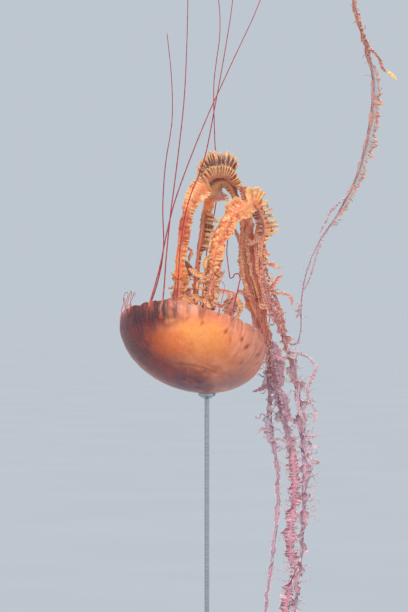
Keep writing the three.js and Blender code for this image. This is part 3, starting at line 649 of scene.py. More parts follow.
# Lobes, films and threads that hang free of the wings: look, pitch and depth of the frills, end, and a route
# whose rows hold x, y, z and how far the lobe reaches to both sides, or to its left and its right.
LOBES = [
    ("shell", 5, 1.4, 60, [(-5, -34, 712, 1, 2), (4, -42, 713, 4, 5), (11, -46, 722, 5),
        (9, -46, 733, 1, 2)]),
    ("cup", 9, 0.5, 35, [(2, -30, 684, 4), (8, -38, 694, 9), (14, -43, 706, 11), (18, -44, 717, 9),
        (20, -44, 726, 6), (21, -43, 732, 3)]),
    ("petal", 4, 1.2, 50, [(9, -39, 690, 0), (20, -41, 687, 2, 4), (27, -44, 698, 2, 5),
        (29, -45, 711, 2, 5), (26, -45, 723, 2, 4), (22, -44, 732, 1)]),
    ("petal", 4, 1.4, 40, [(-31, -34, 718, 4), (-41, -40, 724, 6), (-50, -44, 729, 1)]),
    ("petal", 4, 1.4, 30, [(-30, -30, 756, 3), (-44, -42, 765, 4, 5), (-57, -44, 773, 1.5, 2)]),
    ("join", 4, 1, 20, [(-32, -30, 755, 2), (-41, -40, 749, 2), (-42, -42, 742, 2), (-36, -38, 740, 2),
        (-28, -32, 742, 2)]),
    ("stem", 5, 0.8, 30, [(-71, -30, 753, 3), (-80, -36, 760, 3, 2), (-87, -40, 768, 0.6)]),
    ("stem", 5, 0.8, 30, [(-71, -34, 753, 3), (-66, -40, 760, 2, 3), (-62, -43, 769, 0.6)]),
    ("frill", 5, 1.2, 60, [(-56, -20, 786, 1), (-54, -24, 794, 3), (-52, -25, 803, 3),
        (-54, -22, 812, 0.8)]),
    ("dusk", 8, 1.6, 30, [(-58, -14, 745, 3), (-56, -16, 771, 8), (-54, -14, 792, 2)]),
    ("petal", 4, 1.6, 80, [(-17, -38, 795, 3), (-27, -44, 790, 5), (-29, -46, 775, 5),
        (-27, -42, 768, 2, 1.5)]),
    ("petal", 4, 1.4, 50, [(-15, -38, 792, 3), (-5, -46, 790, 5, 4), (3, -48, 792, 1)]),
    ("petal", 4, 1.4, 70, [(-14, -36, 771, 3), (-8, -44, 766, 5, 4), (-1, -46, 762, 4, 3),
        (-3, -44, 756, 1)]),
    ("petal", 4, 1.4, 60, [(-15, -34, 751, 3), (-8, -42, 748, 5, 4), (-5, -44, 744, 1)]),
    ("petal", 4, 1.4, 50, [(-22, -38, 728, 3), (-28, -46, 722, 4, 5), (-25, -48, 712, 4),
        (-18, -48, 706, 1)]),
    ("petal", 4, 1.3, 50, [(-70, -32, 722, 2), (-62, -42, 724, 5, 4), (-54, -44, 718, 5, 4),
        (-47, -44, 712, 1)]),
    ("petal", 4, 1.3, 50, [(-71, -34, 738, 2), (-62, -42, 740, 4, 3), (-56, -44, 746, 1)]),
    ("shell", 5, 1.5, 60, [(34, 20, 822, 2), (45, 12, 816, 5, 4), (57, 12, 819, 4), (68, 16, 824, 1)]),
    ("sinew", 6, 0.8, 30, [(13, -31, 856, 2), (19, -12, 846, 2), (26, 6, 832, 2, 3), (32, 18, 810, 3),
        (34, 22, 785, 3), (38, 28, 754, 3), (49, 36, 720, 3), (61, 44, 690, 1)]),
    ("sinew", 6, 0.8, 30, [(44, 16, 846, 1), (42, 16, 832, 4, 3), (44, 18, 805, 3), (49, 24, 771, 3, 2),
        (60, 32, 734, 2), (70, 42, 690, 1)]),
    ("sinew", 6, 0.8, 30, [(60, 12, 868, 1), (58, 16, 836, 2), (57, 18, 814, 3), (60, 22, 785, 3),
        (66, 28, 751, 3), (78, 36, 712, 3), (88, 44, 683, 1)]),
    ("shell", 5, 1.4, 50, [(52, 24, 716, 1), (40, 16, 730, 3), (30, 12, 735, 3), (26, 12, 730, 1)]),
    ("shell", 5, 1.2, 40, [(58, 28, 712, 2), (70, 22, 708, 3), (80, 26, 708, 1)]),
    ("comb", 5, 1.5, 50, [(64, 14, 805, 2), (74, 8, 800, 4), (83, 8, 796, 1.5)]),
    ("shell", 5, 1, 50, [(70, 14, 786, 2), (86, 10, 780, 3), (94, 8, 776, 2), (104, 8, 777, 0.6)]),
    ("shell", 4, 1.2, 80, [(102, 12, 762, 1), (95, 8, 758, 5), (88, 6, 746, 5), (84, 10, 738, 2)]),
    ("shell", 5, 1.2, 50, [(82, 16, 736, 2), (98, 10, 732, 2, 3), (113, 8, 730, 2), (119, 8, 722, 2, 3),
        (119, 10, 710, 1)]),
    ("veil", 12, 0.8, 20, [(66, 30, 776, 2), (86, 26, 736, 2), (104, 26, 690, 2, 3), (119, 34, 650, 2)]),
    ("thread", 4, 1.4, 70, [(137, 112, 716, 1), (135, 108, 706, 2, 3), (133, 108, 696, 3, 2),
        (129, 112, 689, 1)]),
    ("thread", 4, 1.2, 70, [(136, 112, 706, 1), (129, 106, 702, 2), (124, 106, 705, 1)]),
    ("comb", 5, 1.6, 60, [(32, 24, 894, 3), (37, 16, 908, 5), (44, 14, 914, 1)]),
    ({0: "trunk", 56: "trunk", 61: "spark"}, 6, 0.9, 35, [(252, 60, 1160, 1.5), (262, 60, 1146, 2),
        (272, 60, 1134, 2, 2.5), (275, 60, 1122, 2), (284, 60, 1112, 1.5), (289, 58, 1110, 3),
        (297, 56, 1103, 2, 3), (300, 55, 1098, 1)]),
    ("thread", 7, 1.4, 60, [(136, 46, 640, 2), (148, 36, 622, 1.5), (160, 32, 608, 3), (154, 30, 588, 3, 2),
        (146, 34, 562, 4, 3), (152, 34, 546, 1.5), (161, 30, 528, 1.2, 2), (159, 30, 516, 3),
        (156, 30, 508, 1)]),
    ("thread", 9, 1, 40, [(128, 48, 612, 1.2), (132, 40, 570, 1.2), (129, 38, 552, 3), (133, 38, 530, 4),
        (142, 36, 508, 1.5), (146, 36, 486, 1.5, 3)]),
    ("curl", 6, 1.6, 90, [(80, 60, 574, 3), (66, 52, 568, 5, 4), (53, 50, 563, 1.5)]),
    ("thread", 6, 1.4, 60, [(82, 58, 494, 3), (70, 50, 500, 3), (60, 48, 492, 1)]),
    ("thread", 6, 1.2, 60, [(73, 52, 490, 1.5), (80, 48, 478, 2), (92, 48, 482, 2), (108, 50, 478, 2),
        (114, 54, 470, 1)]),
    ("thread", 7, 1.2, 60, [(142, 38, 492, 2), (156, 32, 486, 3, 2), (167, 30, 490, 1)]),
    ("thread", 7, 1, 50, [(150, 36, 470, 2), (156, 32, 448, 2), (165, 30, 444, 2), (150, 34, 438, 2)]),
    ("curl", 6, 1.4, 80, [(124, 62, 420, 3), (138, 54, 412, 3), (148, 52, 416, 1)]),
    ("tail", 8, 1, 15, [(84, 62, 652, 5), (92, 60, 636, 8), (97, 60, 618, 9), (101, 60, 600, 8),
        (103, 60, 584, 5), (104, 60, 572, 2, 1.5)]),
    ("curl", 5, 0.9, 30, [(88, 52, 626, 2), (96, 50, 622, 3, 4), (106, 47, 620, 3, 4), (114, 46, 624, 2)]),
    ("tail", 8, 0.9, 15, [(100, 55, 574, 3), (106, 55, 556, 7), (110, 54, 538, 7), (114, 54, 520, 5),
        (116, 54, 508, 2, 1.5)]),
    ("thread", 6, 1, 40, [(222, 86, 900, 1), (205, 84, 890, 1, 1.5), (190, 86, 876, 1, 1.5),
        (178, 90, 852, 1, 1.5), (167, 92, 832, 0.5)]),
    ("thread", 6, 0.8, 30, [(174, 102, 822, 0.8), (166, 103, 805, 1), (159, 106, 778, 1),
        (151, 109, 754, 1), (144, 112, 731, 0.6)]),
]
LOBE_SETTINGS = {
    "rib": 0.45, "slow": 1.2, "slow_pitch": 22, "ragged": 0.25, "loose": 30, "twist": 24, "meander": 0.5,
    "tooth": 0.16, "pucker": 0.15, "lump": 4, "hold": 0.45,
}
LOW_LOBES = 700.0  # the lobes that start below this height make a piece of their own
BROAD_END = 4.0  # an end that reaches this far to both sides together grows into an arm, and others are tips
MIDDLE_STEP = 2.0  # between the places on an arm where a lobe can grow
ROOT_DEPTH = 12.0  # how far an arm's skin starts inside the mouth's stalk


def rooted(route, middles):
    """A lobe's route with its nearer end, and any other broad end, set in the middle of the nearest arm.

    An end that reaches nowhere stays: it starts in another lobe.
    """
    away = [np.linalg.norm(middles - route[end, :3], axis=1) for end in (0, -1)]
    gaps = [gap.min() for gap in away]
    for end in (0, -1):
        reach = route[end, 3:].sum()
        if reach > 0 and (gaps[end] == min(gaps) or reach >= BROAD_END):
            route[end, :3] = middles[away[end].argmin()]
    return route


def lobes(skeletons, material):
    """Two pieces that hold the lobes of the upper and the lower part of the arms."""
    lines = [(along(centre), centre) for centre, _ in skeletons.values()]
    middles = np.concatenate([spline(run, line, np.arange(0, run[-1], MIDDLE_STEP)) for run, line in lines])
    skins = {"skin_lobes_high": [], "skin_lobes_low": []}
    for number, (look, pitch, depth, end, rows) in enumerate(LOBES):
        route = rooted(np.array([(*row, row[-1])[:5] for row in rows], float), middles)
        keys = {**LOBE_SETTINGS, "pitch": pitch, "depth": depth, "end": end}
        looks = look if isinstance(look, dict) else {0: look}
        group = "skin_lobes_low" if route[0, 2] < LOW_LOBES else "skin_lobes_high"
        skins[group].append(ribbon(route[:, :3], route[:, 3:], keys, looks, number + 20, COARSE))
    for name, group in skins.items():
        piece(name, group, material)


def arm(number, name, material):
    """An oral arm's skin. Its centres and reaches are handed back for what grows on it."""
    centre, reach = arm_skeleton(name)
    centre = np.concatenate([[centre[0] - UP * ROOT_DEPTH], centre])
    reach = np.concatenate([reach[:1], reach])
    keys = ARMS[name]
    skin = ribbon(centre, reach, keys, keys["looks"], number + 1)
    piece("skin_" + name, [skin], material, nodes_of(name))
    return centre, reach


# ------------------------------------------------------------------ curls: thin tapes along the arms' edges
CURL_STEP = 1.1
CURL_SIDES = 8
CURL_HALF = 0.38  # half a tape's thickness
LONG_CURL = 12.0  # tapes from this length on start further in
# arm: from and to along it, how many, look, length, half width, how strongly it winds (degrees), sides, lean
CURLS = {
    "oral_arm_a": [
        (78, 128, 9, "frill", 15, 1.9, 60, "both", 20), (130, 250, 18, "frill", 6, 1.0, 40, "right", 0),
        (470, 640, 10, "shell", 14, 1.2, 60, "both", 0), (650, 830, 16, "curl", 30, 0.9, 60, "both", 0),
        (830, 1100, 8, "tail", 18, 0.6, 60, "both", 0),
    ],
    "oral_arm_b": [
        (90, 145, 8, "frill", 15, 1.6, 60, "both", 0), (190, 236, 7, "comb", 12, 1.9, 60, "right", 30),
        (480, 640, 10, "shell", 14, 1.2, 60, "both", 0), (620, 800, 20, "curl", 30, 0.8, 65, "both", 0),
        (770, 1170, 75, "curl", 17, 0.8, 70, "both", 0), (770, 1170, 30, "thread", 30, 0.6, 60, "both", 0),
    ],
    "oral_arm_c": [
        (72, 150, 16, "frill", 16, 2.1, 60, "both", 10), (318, 368, 6, "comb", 11, 1.8, 75, "left", 20),
        (410, 560, 12, "shell", 22, 1.3, 65, "left", 0), (560, 860, 34, "curl", 30, 0.8, 65, "left", 0),
        (600, 1050, 20, "tail", 26, 0.8, 60, "both", 0),
    ],
    "oral_arm_d": [
        (560, 780, 10, "thread", 14, 0.7, 60, "both", 0), (790, 1040, 40, "flame", 9, 0.8, 60, "right", 0),
        (1060, 1240, 12, "trunk", 12, 0.8, 50, "both", 0),
    ],
}


def tape(path, half_width, look, rng):
    """A thin tape's skin along a path. It turns over as it goes, and its edges are bright."""
    run = along(path)
    total = run[-1]
    _, side, front = frames(path)
    turn = rng.uniform(0, TAU) + rng.uniform(0.4, 1.4) * np.sin(TAU * run / rng.uniform(12, 30))
    side, front = rolled(side, front, 0.9 * np.sin(turn))
    width = half_width * (1 + 0.3 * np.sin(TAU * run / rng.uniform(4, 9) + rng.uniform(0, TAU)))
    width = (width * smooth(-2.5, 3, total - run))[:, None]
    thick = (CURL_HALF * smooth(-1.5, 3, total - run))[:, None]
    across, through = circle(TAU * np.arange(CURL_SIDES) / CURL_SIDES).T
    grid = path[:, None] + side[:, None] * (width * across)[..., None]
    grid = grid + front[:, None] * (thick * through)[..., None]
    _, film, rim, clear = LOOKS[look]
    bright = smooth(0.2, 0.95, np.abs(across)[None] + 0.3 * np.sin(TAU * run / 5)[:, None])
    place = np.stack(np.broadcast_arrays(run[:, None] * MM, width * across * MM, 0 * width), -1)
    return *closed_tube(grid), {
        "tone": with_ends(mix(film, rim, bright[..., None])),
        "cover": with_ends(1 - 0.75 * clear * (1 - bright)),
        "place": with_ends(place),
    }


def curl_path(start, outward, up, toward, edge, length, winding, lean, rng):
    """A path that starts inside an arm's edge, heads outwards and winds to and fro."""
    run = np.arange(0, length * rng.uniform(0.6, 1.5), CURL_STEP)
    wave = length * rng.uniform(0.45, 1.0)
    heading = winding * DEG * np.sin(TAU * run / wave + rng.uniform(0, TAU))
    heading = heading + rng.uniform(-70, 70) * DEG * run / run[-1] + lean * DEG
    depth = rng.uniform(-0.4, 0.4) + 0.4 * np.sin(TAU * run / wave + rng.uniform(0, TAU))
    steps = outward * np.cos(heading)[:, None] + up * np.sin(heading)[:, None] + toward * depth[:, None]
    inward = 1 if length < LONG_CURL else 0.4
    start = start + inward * (outward * edge * rng.uniform(0.35, 0.7) + toward * rng.uniform(-1, 2))
    return start + np.cumsum(unit(steps) * CURL_STEP, axis=0)


def curls(skeletons, material):
    """Tapes along the arms' edges, each in its own direction."""
    rng = np.random.default_rng(5)
    skins = []
    for name, groups in CURLS.items():
        centre, reach = skeletons[name]
        places = along(centre)
        axes = frames(centre)
        for first, last, count, look, length, half_width, winding, sides, lean in groups:
            for number in range(count):
                s = np.array([first + (last - first) * (number + rng.uniform(0.1, 0.9)) / count])
                wing = int(sides == "right" or (sides == "both" and rng.uniform() >= 0.5))
                start, ahead, side, front, edges = (
                    spline(places, values, s)[0] for values in (centre, *axes, reach)
                )
                outward = unit(side) * (1 - 2 * wing)
                up = unit(ahead) * rng.choice([-1, 1])
                edge = edges[wing] * setting(ARMS[name], WINGS[wing], "stretch", s)[0]
                path = curl_path(start, outward, up, unit(front), edge, length, winding, lean, rng)
                skins.append(tape(path, half_width * rng.uniform(0.8, 1.3), look, rng))
    piece("skin_curls", skins, material)


# ------------------------------------------------------------------ bell
COLUMNS = 18 * LAPPETS
OUTER_ROWS = 104
INNER_ROWS = 54
SKIN_RISE = 0.35  # how far the skin stands out from the CAD's wall
BROOD_HEIGHT = 5.0
MEAN_RADIUS = 112.0  # of the bell from its crown to its rim
HEART = -98  # angle round the bell of its orange heart
# where the rim swells or draws in: angle round, width, height, all in degrees
RIM_SWELLS = [
    (-152, 16, -1.8), (-108, 13, 3.2), (-74, 15, -2.2), (-20, 18, 0.8), (60, 25, 1.2), (125, 20, -1.2),
]
MARKS = [  # short dark dashes near the rim: angle round, angle from the crown, strength
    (-154, 68, 0.9), (-132, 72, 1.0), (-120, 74, 1.0), (-98, 77, 0.4), (-86, 76, 0.6), (-66, 75, 0.9),
    (-60, 69, 0.5), (-50, 74, 1.0), (-42, 70, 1.0), (-24, 72, 0.8), (-15, 66, 0.8), (-37, 53, 0.5),
]


def off_angle(phi, middle):
    """Degrees from phi to middle round the bell, the short way."""
    return (phi - middle + 180) % 360 - 180


def arch(phi):
    """0 at the clefts, and 1 in the middle of each lappet."""
    return np.abs(np.sin(math.pi * ((phi - FIRST_CLEFT) / 360 * LAPPETS)))


def streaks(theta, around, count, length, seed):
    """Random streaks, so many to a radian round the bell and so many degrees long."""
    places = circle(np.broadcast_to(around, theta.shape)) * count
    return cloud(np.concatenate([places, theta[..., None] / length], -1), 1.0, seed)


def gonad_height(theta, around):
    """Four ruffled cushions, the brood organs, on the inside of the bell round the mouth's stalk."""
    quarter = np.abs(np.sin(2 * around)) ** 0.8
    ring = hump((theta - 31 - 4 * quarter) / 8.5)
    ruffle = 0.62 + 0.38 * np.sin(theta * 1.1 + 5 * np.sin(14 * around)) * np.sin(24 * around)
    return BROOD_HEIGHT * ring * smooth(0.25, 0.7, quarter) * ruffle


def rim_curl(theta, around):
    """How far the thin rim waves out and in."""
    wave = 1.3 * np.sin(16 * around + 0.6) + 1.2 * np.sin(11 * around) + 1.6 * np.sin(7 * around + 2)
    return 0.6 * smooth(80, 96, theta) * wave


def folds(theta, around):
    """Fine folds that run from the crown to the rim, from about -1 to 1, and faint over the heart."""
    across = np.abs(off_angle(around / DEG, HEART)) * np.sin(theta * DEG)
    strength = smooth(25, 60, theta) * mix(0.2, 1, np.maximum(smooth(20, 50, across), smooth(72, 88, theta)))
    return streaks(theta, around, 26, 45, 13) * strength


def outer_wall(phi, edge):
    """Angles from the crown and points of the outside, up to the rim's edge."""
    around = phi * DEG
    t = np.linspace(0.01, 1, OUTER_ROWS)[:, None] ** 0.92
    theta = t * mix(CLEFT, edge, smooth(0.7, 1, t))
    groove = smooth(62, 84, theta) * (0.5 - 0.5 * arch(phi) ** 0.5) * 1.5
    ribs = smooth(45, 84, theta) * 0.12 * np.sin(96 * around + 2 * np.sin(7 * around))
    waves = 0.6 * smooth(25, 70, theta) * np.sin(8 * around + 0.7) + 0.35 * np.sin(3 * around + 0.04 * theta)
    dents = 0.8 * smooth(60, 80, theta) * cloud(from_bell(bell_wall(theta, phi)), 15.0, 8)
    creases = 0.4 * folds(theta, around)
    inset = SKIN_RISE + groove + ribs - 0.25 * waves + dents - creases - rim_curl(theta, around)
    return theta, bell_wall(theta, phi, inset)


def inner_wall(phi, edge):
    """Angles from the crown, points and heights of the brood organs of the inside, from the rim's edge."""
    around = phi * DEG
    t = np.linspace(1, 0.02, INNER_ROWS)[:, None] ** 0.9
    theta = t * mix(CLEFT, edge - 0.25, smooth(0.7, 1, t))
    wall = RIM_WALL + (CROWN_WALL - RIM_WALL) * (1 - np.minimum(theta / LAPPET, 1) ** 2)
    wall = mix(wall, 1.0, smooth(78, 92, theta))
    septa = smooth(30, 45, theta) * smooth(86, 74, theta) * 0.9 * np.abs(np.sin(8 * around)) ** 3
    rings = 0.25 * smooth(50, 60, theta) * smooth(88, 82, theta) * np.sin(theta * DEG * 110)
    brood = gonad_height(theta, around)
    inset = wall + septa + rings + brood - rim_curl(theta, around) + SKIN_RISE
    return theta, bell_wall(theta, phi, inset), brood


def bell(material):
    """The bell's skin, from the crown outside, over the rim, to the crown inside."""
    phi = FIRST_CLEFT + 360 * np.arange(COLUMNS)[None] / COLUMNS
    around = phi * DEG
    swell = sum(height * hump(off_angle(phi, middle) / width) for middle, width, height in RIM_SWELLS)
    cleft = CLEFT_DEPTH * (1 - arch(phi) ** 0.6) * (1 + 0.5 * cloud(circle(around), 0.12, 4))
    edge = LAPPET + swell - cleft + 0.5 * cloud(circle(around), 0.03, 6)
    theta, outer = outer_wall(phi, edge)
    under, inner, brood = inner_wall(phi, edge)
    outer, inner = from_bell(outer), from_bell(inner)
    tone = [bell_paint(outer, theta, around), lining_paint(inner, under, around, brood / BROOD_HEIGHT)]
    theta = np.concatenate([theta, under])
    polar = np.concatenate([circle(np.broadcast_to(around, theta.shape)), theta[..., None] / 90], -1)
    fields = {"polar": with_ends(polar), "tone": with_ends(np.concatenate(tone))}
    skin = closed_tube(np.concatenate([outer, inner]))
    piece("skin_bell", [(*skin, fields)], material, ["bell_dome", "bell_margin"])


def marks():
    """The dashes seen from the front, and random ones for the rest of the bell."""
    rng = np.random.default_rng(12)
    rest = [(phi + rng.uniform(-4, 4), rng.uniform(68, 77), rng.uniform(0.3, 1)) for phi in range(8, 200, 12)]
    for phi, theta, strength in MARKS + rest:
        yield phi, theta, strength, rng.uniform(2.3, 3.4), rng.uniform(5.5, 7.5), rng.uniform(-0.6, 0.2)


def bell_paint(points, theta, around):
    """The outside: an orange heart with painted glow in a mauve and peach wall, painted shade, dusky patches,
    dashes and a pale rim.
    """
    phi = (around / DEG)[..., None]
    to_right = (np.cos(around) * np.sin(theta * DEG))[..., None]
    fog, grain, fine = (cloud(points, *lumps)[..., None] for lumps in ((40, 3, 3), (14, 4, 3), (4.5, 5, 2)))
    radial = streaks(theta, around, 18, 30, 7)[..., None]
    arcs = streaks(theta, around, 1.4, 3.2, 9)[..., None]
    crest_highlight = folds(theta, around)[..., None]
    theta = theta[..., None]
    turn = off_angle(phi, HEART)
    across = turn * np.sin(theta * DEG)
    behind = smooth(-0.2, 0.6, np.sin(phi * DEG))
    in_front = 1 - behind

    # a wall that is dusky mauve on the left, its darkness painted shade, and peach on the right, round an
    # orange heart
    colour = mix(linear(108, 42, 50), linear(240, 152, 122), smooth(-0.68, 0.35, to_right + 0.22 * fog))
    # the heart: the brood organs' orange seen through the wall, with a painted glow brightest at its core
    wide, tall = np.where(across < 12, 30, 33), np.where(theta < 63, 31, 27)
    away = np.hypot((across - 12) / wide, (theta - 63) / tall) + 0.2 * fog + 0.08 * grain
    belt = 0.6 * behind * smooth(1.4, 0.4, np.abs(theta - 54) / 26 + 0.2 * fog)
    heart = np.maximum(smooth(1.5, 0.3, away), belt)
    core = np.hypot((across - 6) / 20, (theta - 64) / 15) + 0.25 * fog + 0.1 * grain
    glow = np.hypot((across + 17) / 19, (theta - 50) / 16) + 0.25 * grain
    # towards the crown: dusky mauve, orange-brown arcs and bluish blotches
    shift = (8 * smooth(38, 68, turn) - 14 * smooth(-7, -45, turn)) * in_front
    flesh = [
        # painted shade: darker, grainy patches on the left
        ((80, 32, 46), 0.6 * smooth(0, 0.8, grain + 0.3 * fog) * smooth(-0.2, -0.8, to_right)),
        ((190, 110, 100), 0.6 * behind * smooth(0.2, -0.6, to_right)),
        # painted glow: the heart's orange, its pale core and its deep orange spot
        ((255, 148, 84), heart),
        ((255, 166, 92), 0.8 * smooth(1.6, 0.1, core)),
        ((232, 104, 46), 0.55 * smooth(1.5, 0.2, glow)),
        ((148, 44, 50), 0.85 * smooth(33, 14, theta + 5 * grain + shift)),
        ((150, 108, 122), 0.55 * smooth(66, 36, theta) * smooth(40, 92, turn) * in_front),
        ((176, 74, 42), 0.5 * smooth(0.1, 0.8, arcs) * smooth(10, 20, theta) * smooth(42, 28, theta)),
        ((80, 40, 76), 0.75 * smooth(-0.2, 0.5, grain + 0.4 * fog) * smooth(22, 9, theta)),
    ]
    colour = painted(colour, flesh)

    # painted shade: the flanks and the underside's edge, away from the right, are darkened where the wall
    # turns side-on
    normal = unit(np.cross(np.gradient(points, axis=0), np.gradient(points, axis=1)))
    shaded_flank = smooth(0.55, 0.15, np.abs(normal[..., 1:2]))
    colour = colour * (1 - 0.45 * shaded_flank * smooth(0.3, -0.2, to_right) * smooth(82, 60, theta) * in_front)

    # towards the rim: a pink veil, streaked with dark mauve and patched with painted shade on the left, the
    # dashes and a pale edge
    # painted shade: a dark patch on the rim's left, broken by streaks, over fainter dark streaks all round
    dark = np.exp(-((off_angle(phi, -134) / 30) ** 4)) * smooth(-0.8, 0.1, radial + 0.7 * grain)
    dark = np.minimum(dark + 0.3 * smooth(0.3, 0.9, radial + 0.8 * fog), 1)
    dark = dark * smooth(66, 78, theta + 3 * grain)
    light = smooth(0.1, 0.9, -radial + 0.5 * grain) * smooth(64, 82, theta) * smooth(-0.5, 0, to_right)
    rim = [
        ((204, 112, 82), 0.6 * smooth(72, 92, theta + 6 * fog) * smooth(-0.8, -0.2, to_right)),
        ((62, 30, 42), 0.85 * dark),
        ((236, 150, 108), 0.25 * light),
    ]
    for middle, height, strength, half_width, half_length, tilt in marks():
        x = off_angle(phi, middle) * DEG * BELL_RADIUS * np.sin(theta * DEG)
        y = (theta - height) * DEG * MEAN_RADIUS
        x = x + tilt * y + 0.6 * grain
        dash = np.exp(-((x / half_width) ** 2) - (y / half_length) ** 2)
        rim.append(((146, 20, 14), 0.95 * strength * dash))
    rim.append(((226, 140, 108), 0.5 * smooth(91.5, 94.5, theta + 0.8 * fine) * smooth(-0.6, 0, to_right)))
    # painted highlight on the crests of the folds, with fine grain in the tone
    return painted(colour, rim) * (1 + 0.07 * fine + 0.09 * grain + 0.12 * crest_highlight)


def lining_paint(points, theta, around, brood):
    """The inside: mauve, with paler muscle lines and orange-brown brood organs."""
    muscle = streaks(theta, around, 9, 22, 11)[..., None]
    grain = cloud(points, 9.0, 12, 3)[..., None]
    theta, brood = theta[..., None], brood[..., None]
    layers = [
        ((150, 84, 88), 0.5 * smooth(0, 0.9, grain)),
        ((214, 108, 60), smooth(0.12, 0.5, brood)),
        ((250, 184, 124), 0.6 * smooth(0.55, 0.95, brood)),
        ((238, 190, 170), 0.6 * smooth(90, 95, theta)),
    ]
    return painted(mix(linear(182, 112, 104), linear(226, 160, 136), smooth(-0.6, 0.6, muscle)), layers)


# ------------------------------------------------------------------ mouth
MOUTH_SIDES = 192
MOUTH_ROWS = 84
# height, radius, share of the four lobes, and frill, from the bell's wall to the lips and back inside
MOUTH = [
    (-76, 25, 0, 0), (-72, 22.5, 0, 0), (-64, 17.5, 0.05, 0.1), (-54, 15.4, 0.1, 0.2), (-44, 15.4, 0.13, 0.3),
    (-34, 16.4, 0.16, 0.4), (-26, 18, 0.2, 0.6), (-20, 20.2, 0.24, 0.9), (-16, 21.6, 0.27, 1.2),
    (-14.6, 21.4, 0.28, 1.3), (-15.5, 18.6, 0.3, 1.2), (-20, 12, 0.36, 0.9), (-28, 9, 0.4, 0.5),
    (-40, 7, 0.4, 0.2), (-52, 2, 0.2, 0),
]


def mouth(material):
    """The mouth's stalk: four lobes that open into frilled lips round a cross-shaped mouth."""
    around = TAU * np.arange(MOUTH_SIDES)[None] / MOUTH_SIDES
    knots = np.arange(len(MOUTH), dtype=float)
    t = np.linspace(0, knots[-1], MOUTH_ROWS)
    z, r, lobe, wave = (spline(knots, values, t)[:, None] for values in zip(*MOUTH))
    ruffle = np.sin(44 * around + 2.2 * np.sin(4 * around)) + 0.5 * np.sin(27 * around + 1)
    r = r * (1 + lobe * np.cos(4 * (around - math.pi / 4))) + wave * ruffle * 0.8
    z = z + wave * 0.9 * np.sin(31 * around + 0.5) + 0 * around
    skin = closed_tube(from_bell(np.stack([r * np.cos(around), r * np.sin(around), z], -1)))
    tone = mix(linear(214, 120, 92), linear(240, 178, 128), smooth(-60, -18, z)[..., None])
    # painted highlight on the frills of the lips that stand out
    tone = mix(tone, linear(255, 220, 164), 0.7 * smooth(0.1, 0.9, ruffle * wave)[..., None])
    place = np.stack([z * MM + 0 * around, around * 0.02 + 0 * z, 0 * around + 0 * z], -1)
    fields = {"tone": with_ends(tone), "cover": np.ones(len(skin[0])), "place": with_ends(place)}
    piece("skin_mouth", [(*skin, fields)], material, ["manubrium"])


# ------------------------------------------------------------------ tentacles
TENTACLES = 24
TENTACLE_SIDES = 10
TENTACLE_STEP = 1.4
BEAD = 3.4  # length of the faint swellings along a tentacle
ROOT_FLARE = 1.3
ROOT_LENGTH = 8.0
BURIED = 9.0  # how far a tentacle starts inside the rim
FREE_OF_RIM = 34.0  # from here on it takes no part in the rim's waves
DRAWN_IN = 90.0  # length up to which a tentacle is a short one
STREAMING = 200.0  # and from which it is a long one
SHORT_RED = 0.45  # how much of a long one's red a short one has
SHORT_GIRTH = 0.7  # and of its thickness
HOOKED = 6
# where this tentacle turns back on itself, in place of its solids' bend at the same heights: x, y, z
HOOK = [
    (28, -67, 747), (30, -60, 757), (26.5, -56, 764.5), (21, -53, 763.5), (18, -51, 758.5), (14.5, -49, 757),
    (11.5, -46, 768), (9.5, -40, 784),
]
HOOK_GAP = 3.0  # clear height between the hook and the solids' next section


def carried_by_rim(root):
    """How far the waves of the thin rim carry a tentacle's root out or in."""
    local = root - BELL_CENTRE
    x = local @ turned([1, 0, 0]) + SWAY * (local @ UP)
    around = math.atan2(local @ turned([0, 1, 0]), x)
    return turned([math.cos(around), math.sin(around), 0]) * rim_curl(CLEFT, around)


def tentacle(number, material):
    """A smooth tapering tentacle along its solids' sections, with a flared root sunk in the rim."""
    name = f"tentacle_{number:02d}"
    nodes = nodes_of(name)
    centres = np.array([ring.mean(0) for ring in sections(nodes, TENTACLE_CORNERS)])
    carried = carried_by_rim(centres[0])
    if number == HOOKED:
        below, above = centres[:, 2] < HOOK[0][2] - HOOK_GAP, centres[:, 2] > HOOK[-1][2] + HOOK_GAP
        centres = np.concatenate([centres[below], HOOK, centres[above]])
    centres = np.concatenate([[centres[0] - UP * BURIED], centres])
    length = along(centres)
    total = length[-1]
    s = np.linspace(0, total, int(total / TENTACLE_STEP))
    path = spline(length, centres, s) + carried * smooth(FREE_OF_RIM, BURIED, s)[:, None]
    _, side, front = frames(path)
    long = smooth(DRAWN_IN, STREAMING, total)
    beads = 0.1 * np.sin(TAU * s / BEAD) * smooth(8, 20, s)
    radius = mix(SHORT_GIRTH, 1, long) * mix(1.2, 0.6, s / total) * (1 + beads)
    radius = radius * (1 + 0.08 * wander(s, 18, number)) * smooth(-3, 5, total - s)
    radius = (radius + ROOT_FLARE * hump((s - BURIED) / ROOT_LENGTH)) * smooth(-2, BURIED, s)
    x, y = circle(TAU * np.arange(TENTACLE_SIDES) / TENTACLE_SIDES).T[..., None]
    grid = path[:, None] + (side[:, None] * x + front[:, None] * y) * radius[:, None, None]
    redness = smooth(BURIED, 28, s) * mix(SHORT_RED, 1, long)
    fields = {
        key: with_ends(np.broadcast_to(values[:, None], grid.shape[:2]))
        for key, values in {"away": redness, "run": s * MM}.items()
    }
    piece("skin_" + name, [(*closed_tube(grid), fields)], material, nodes)


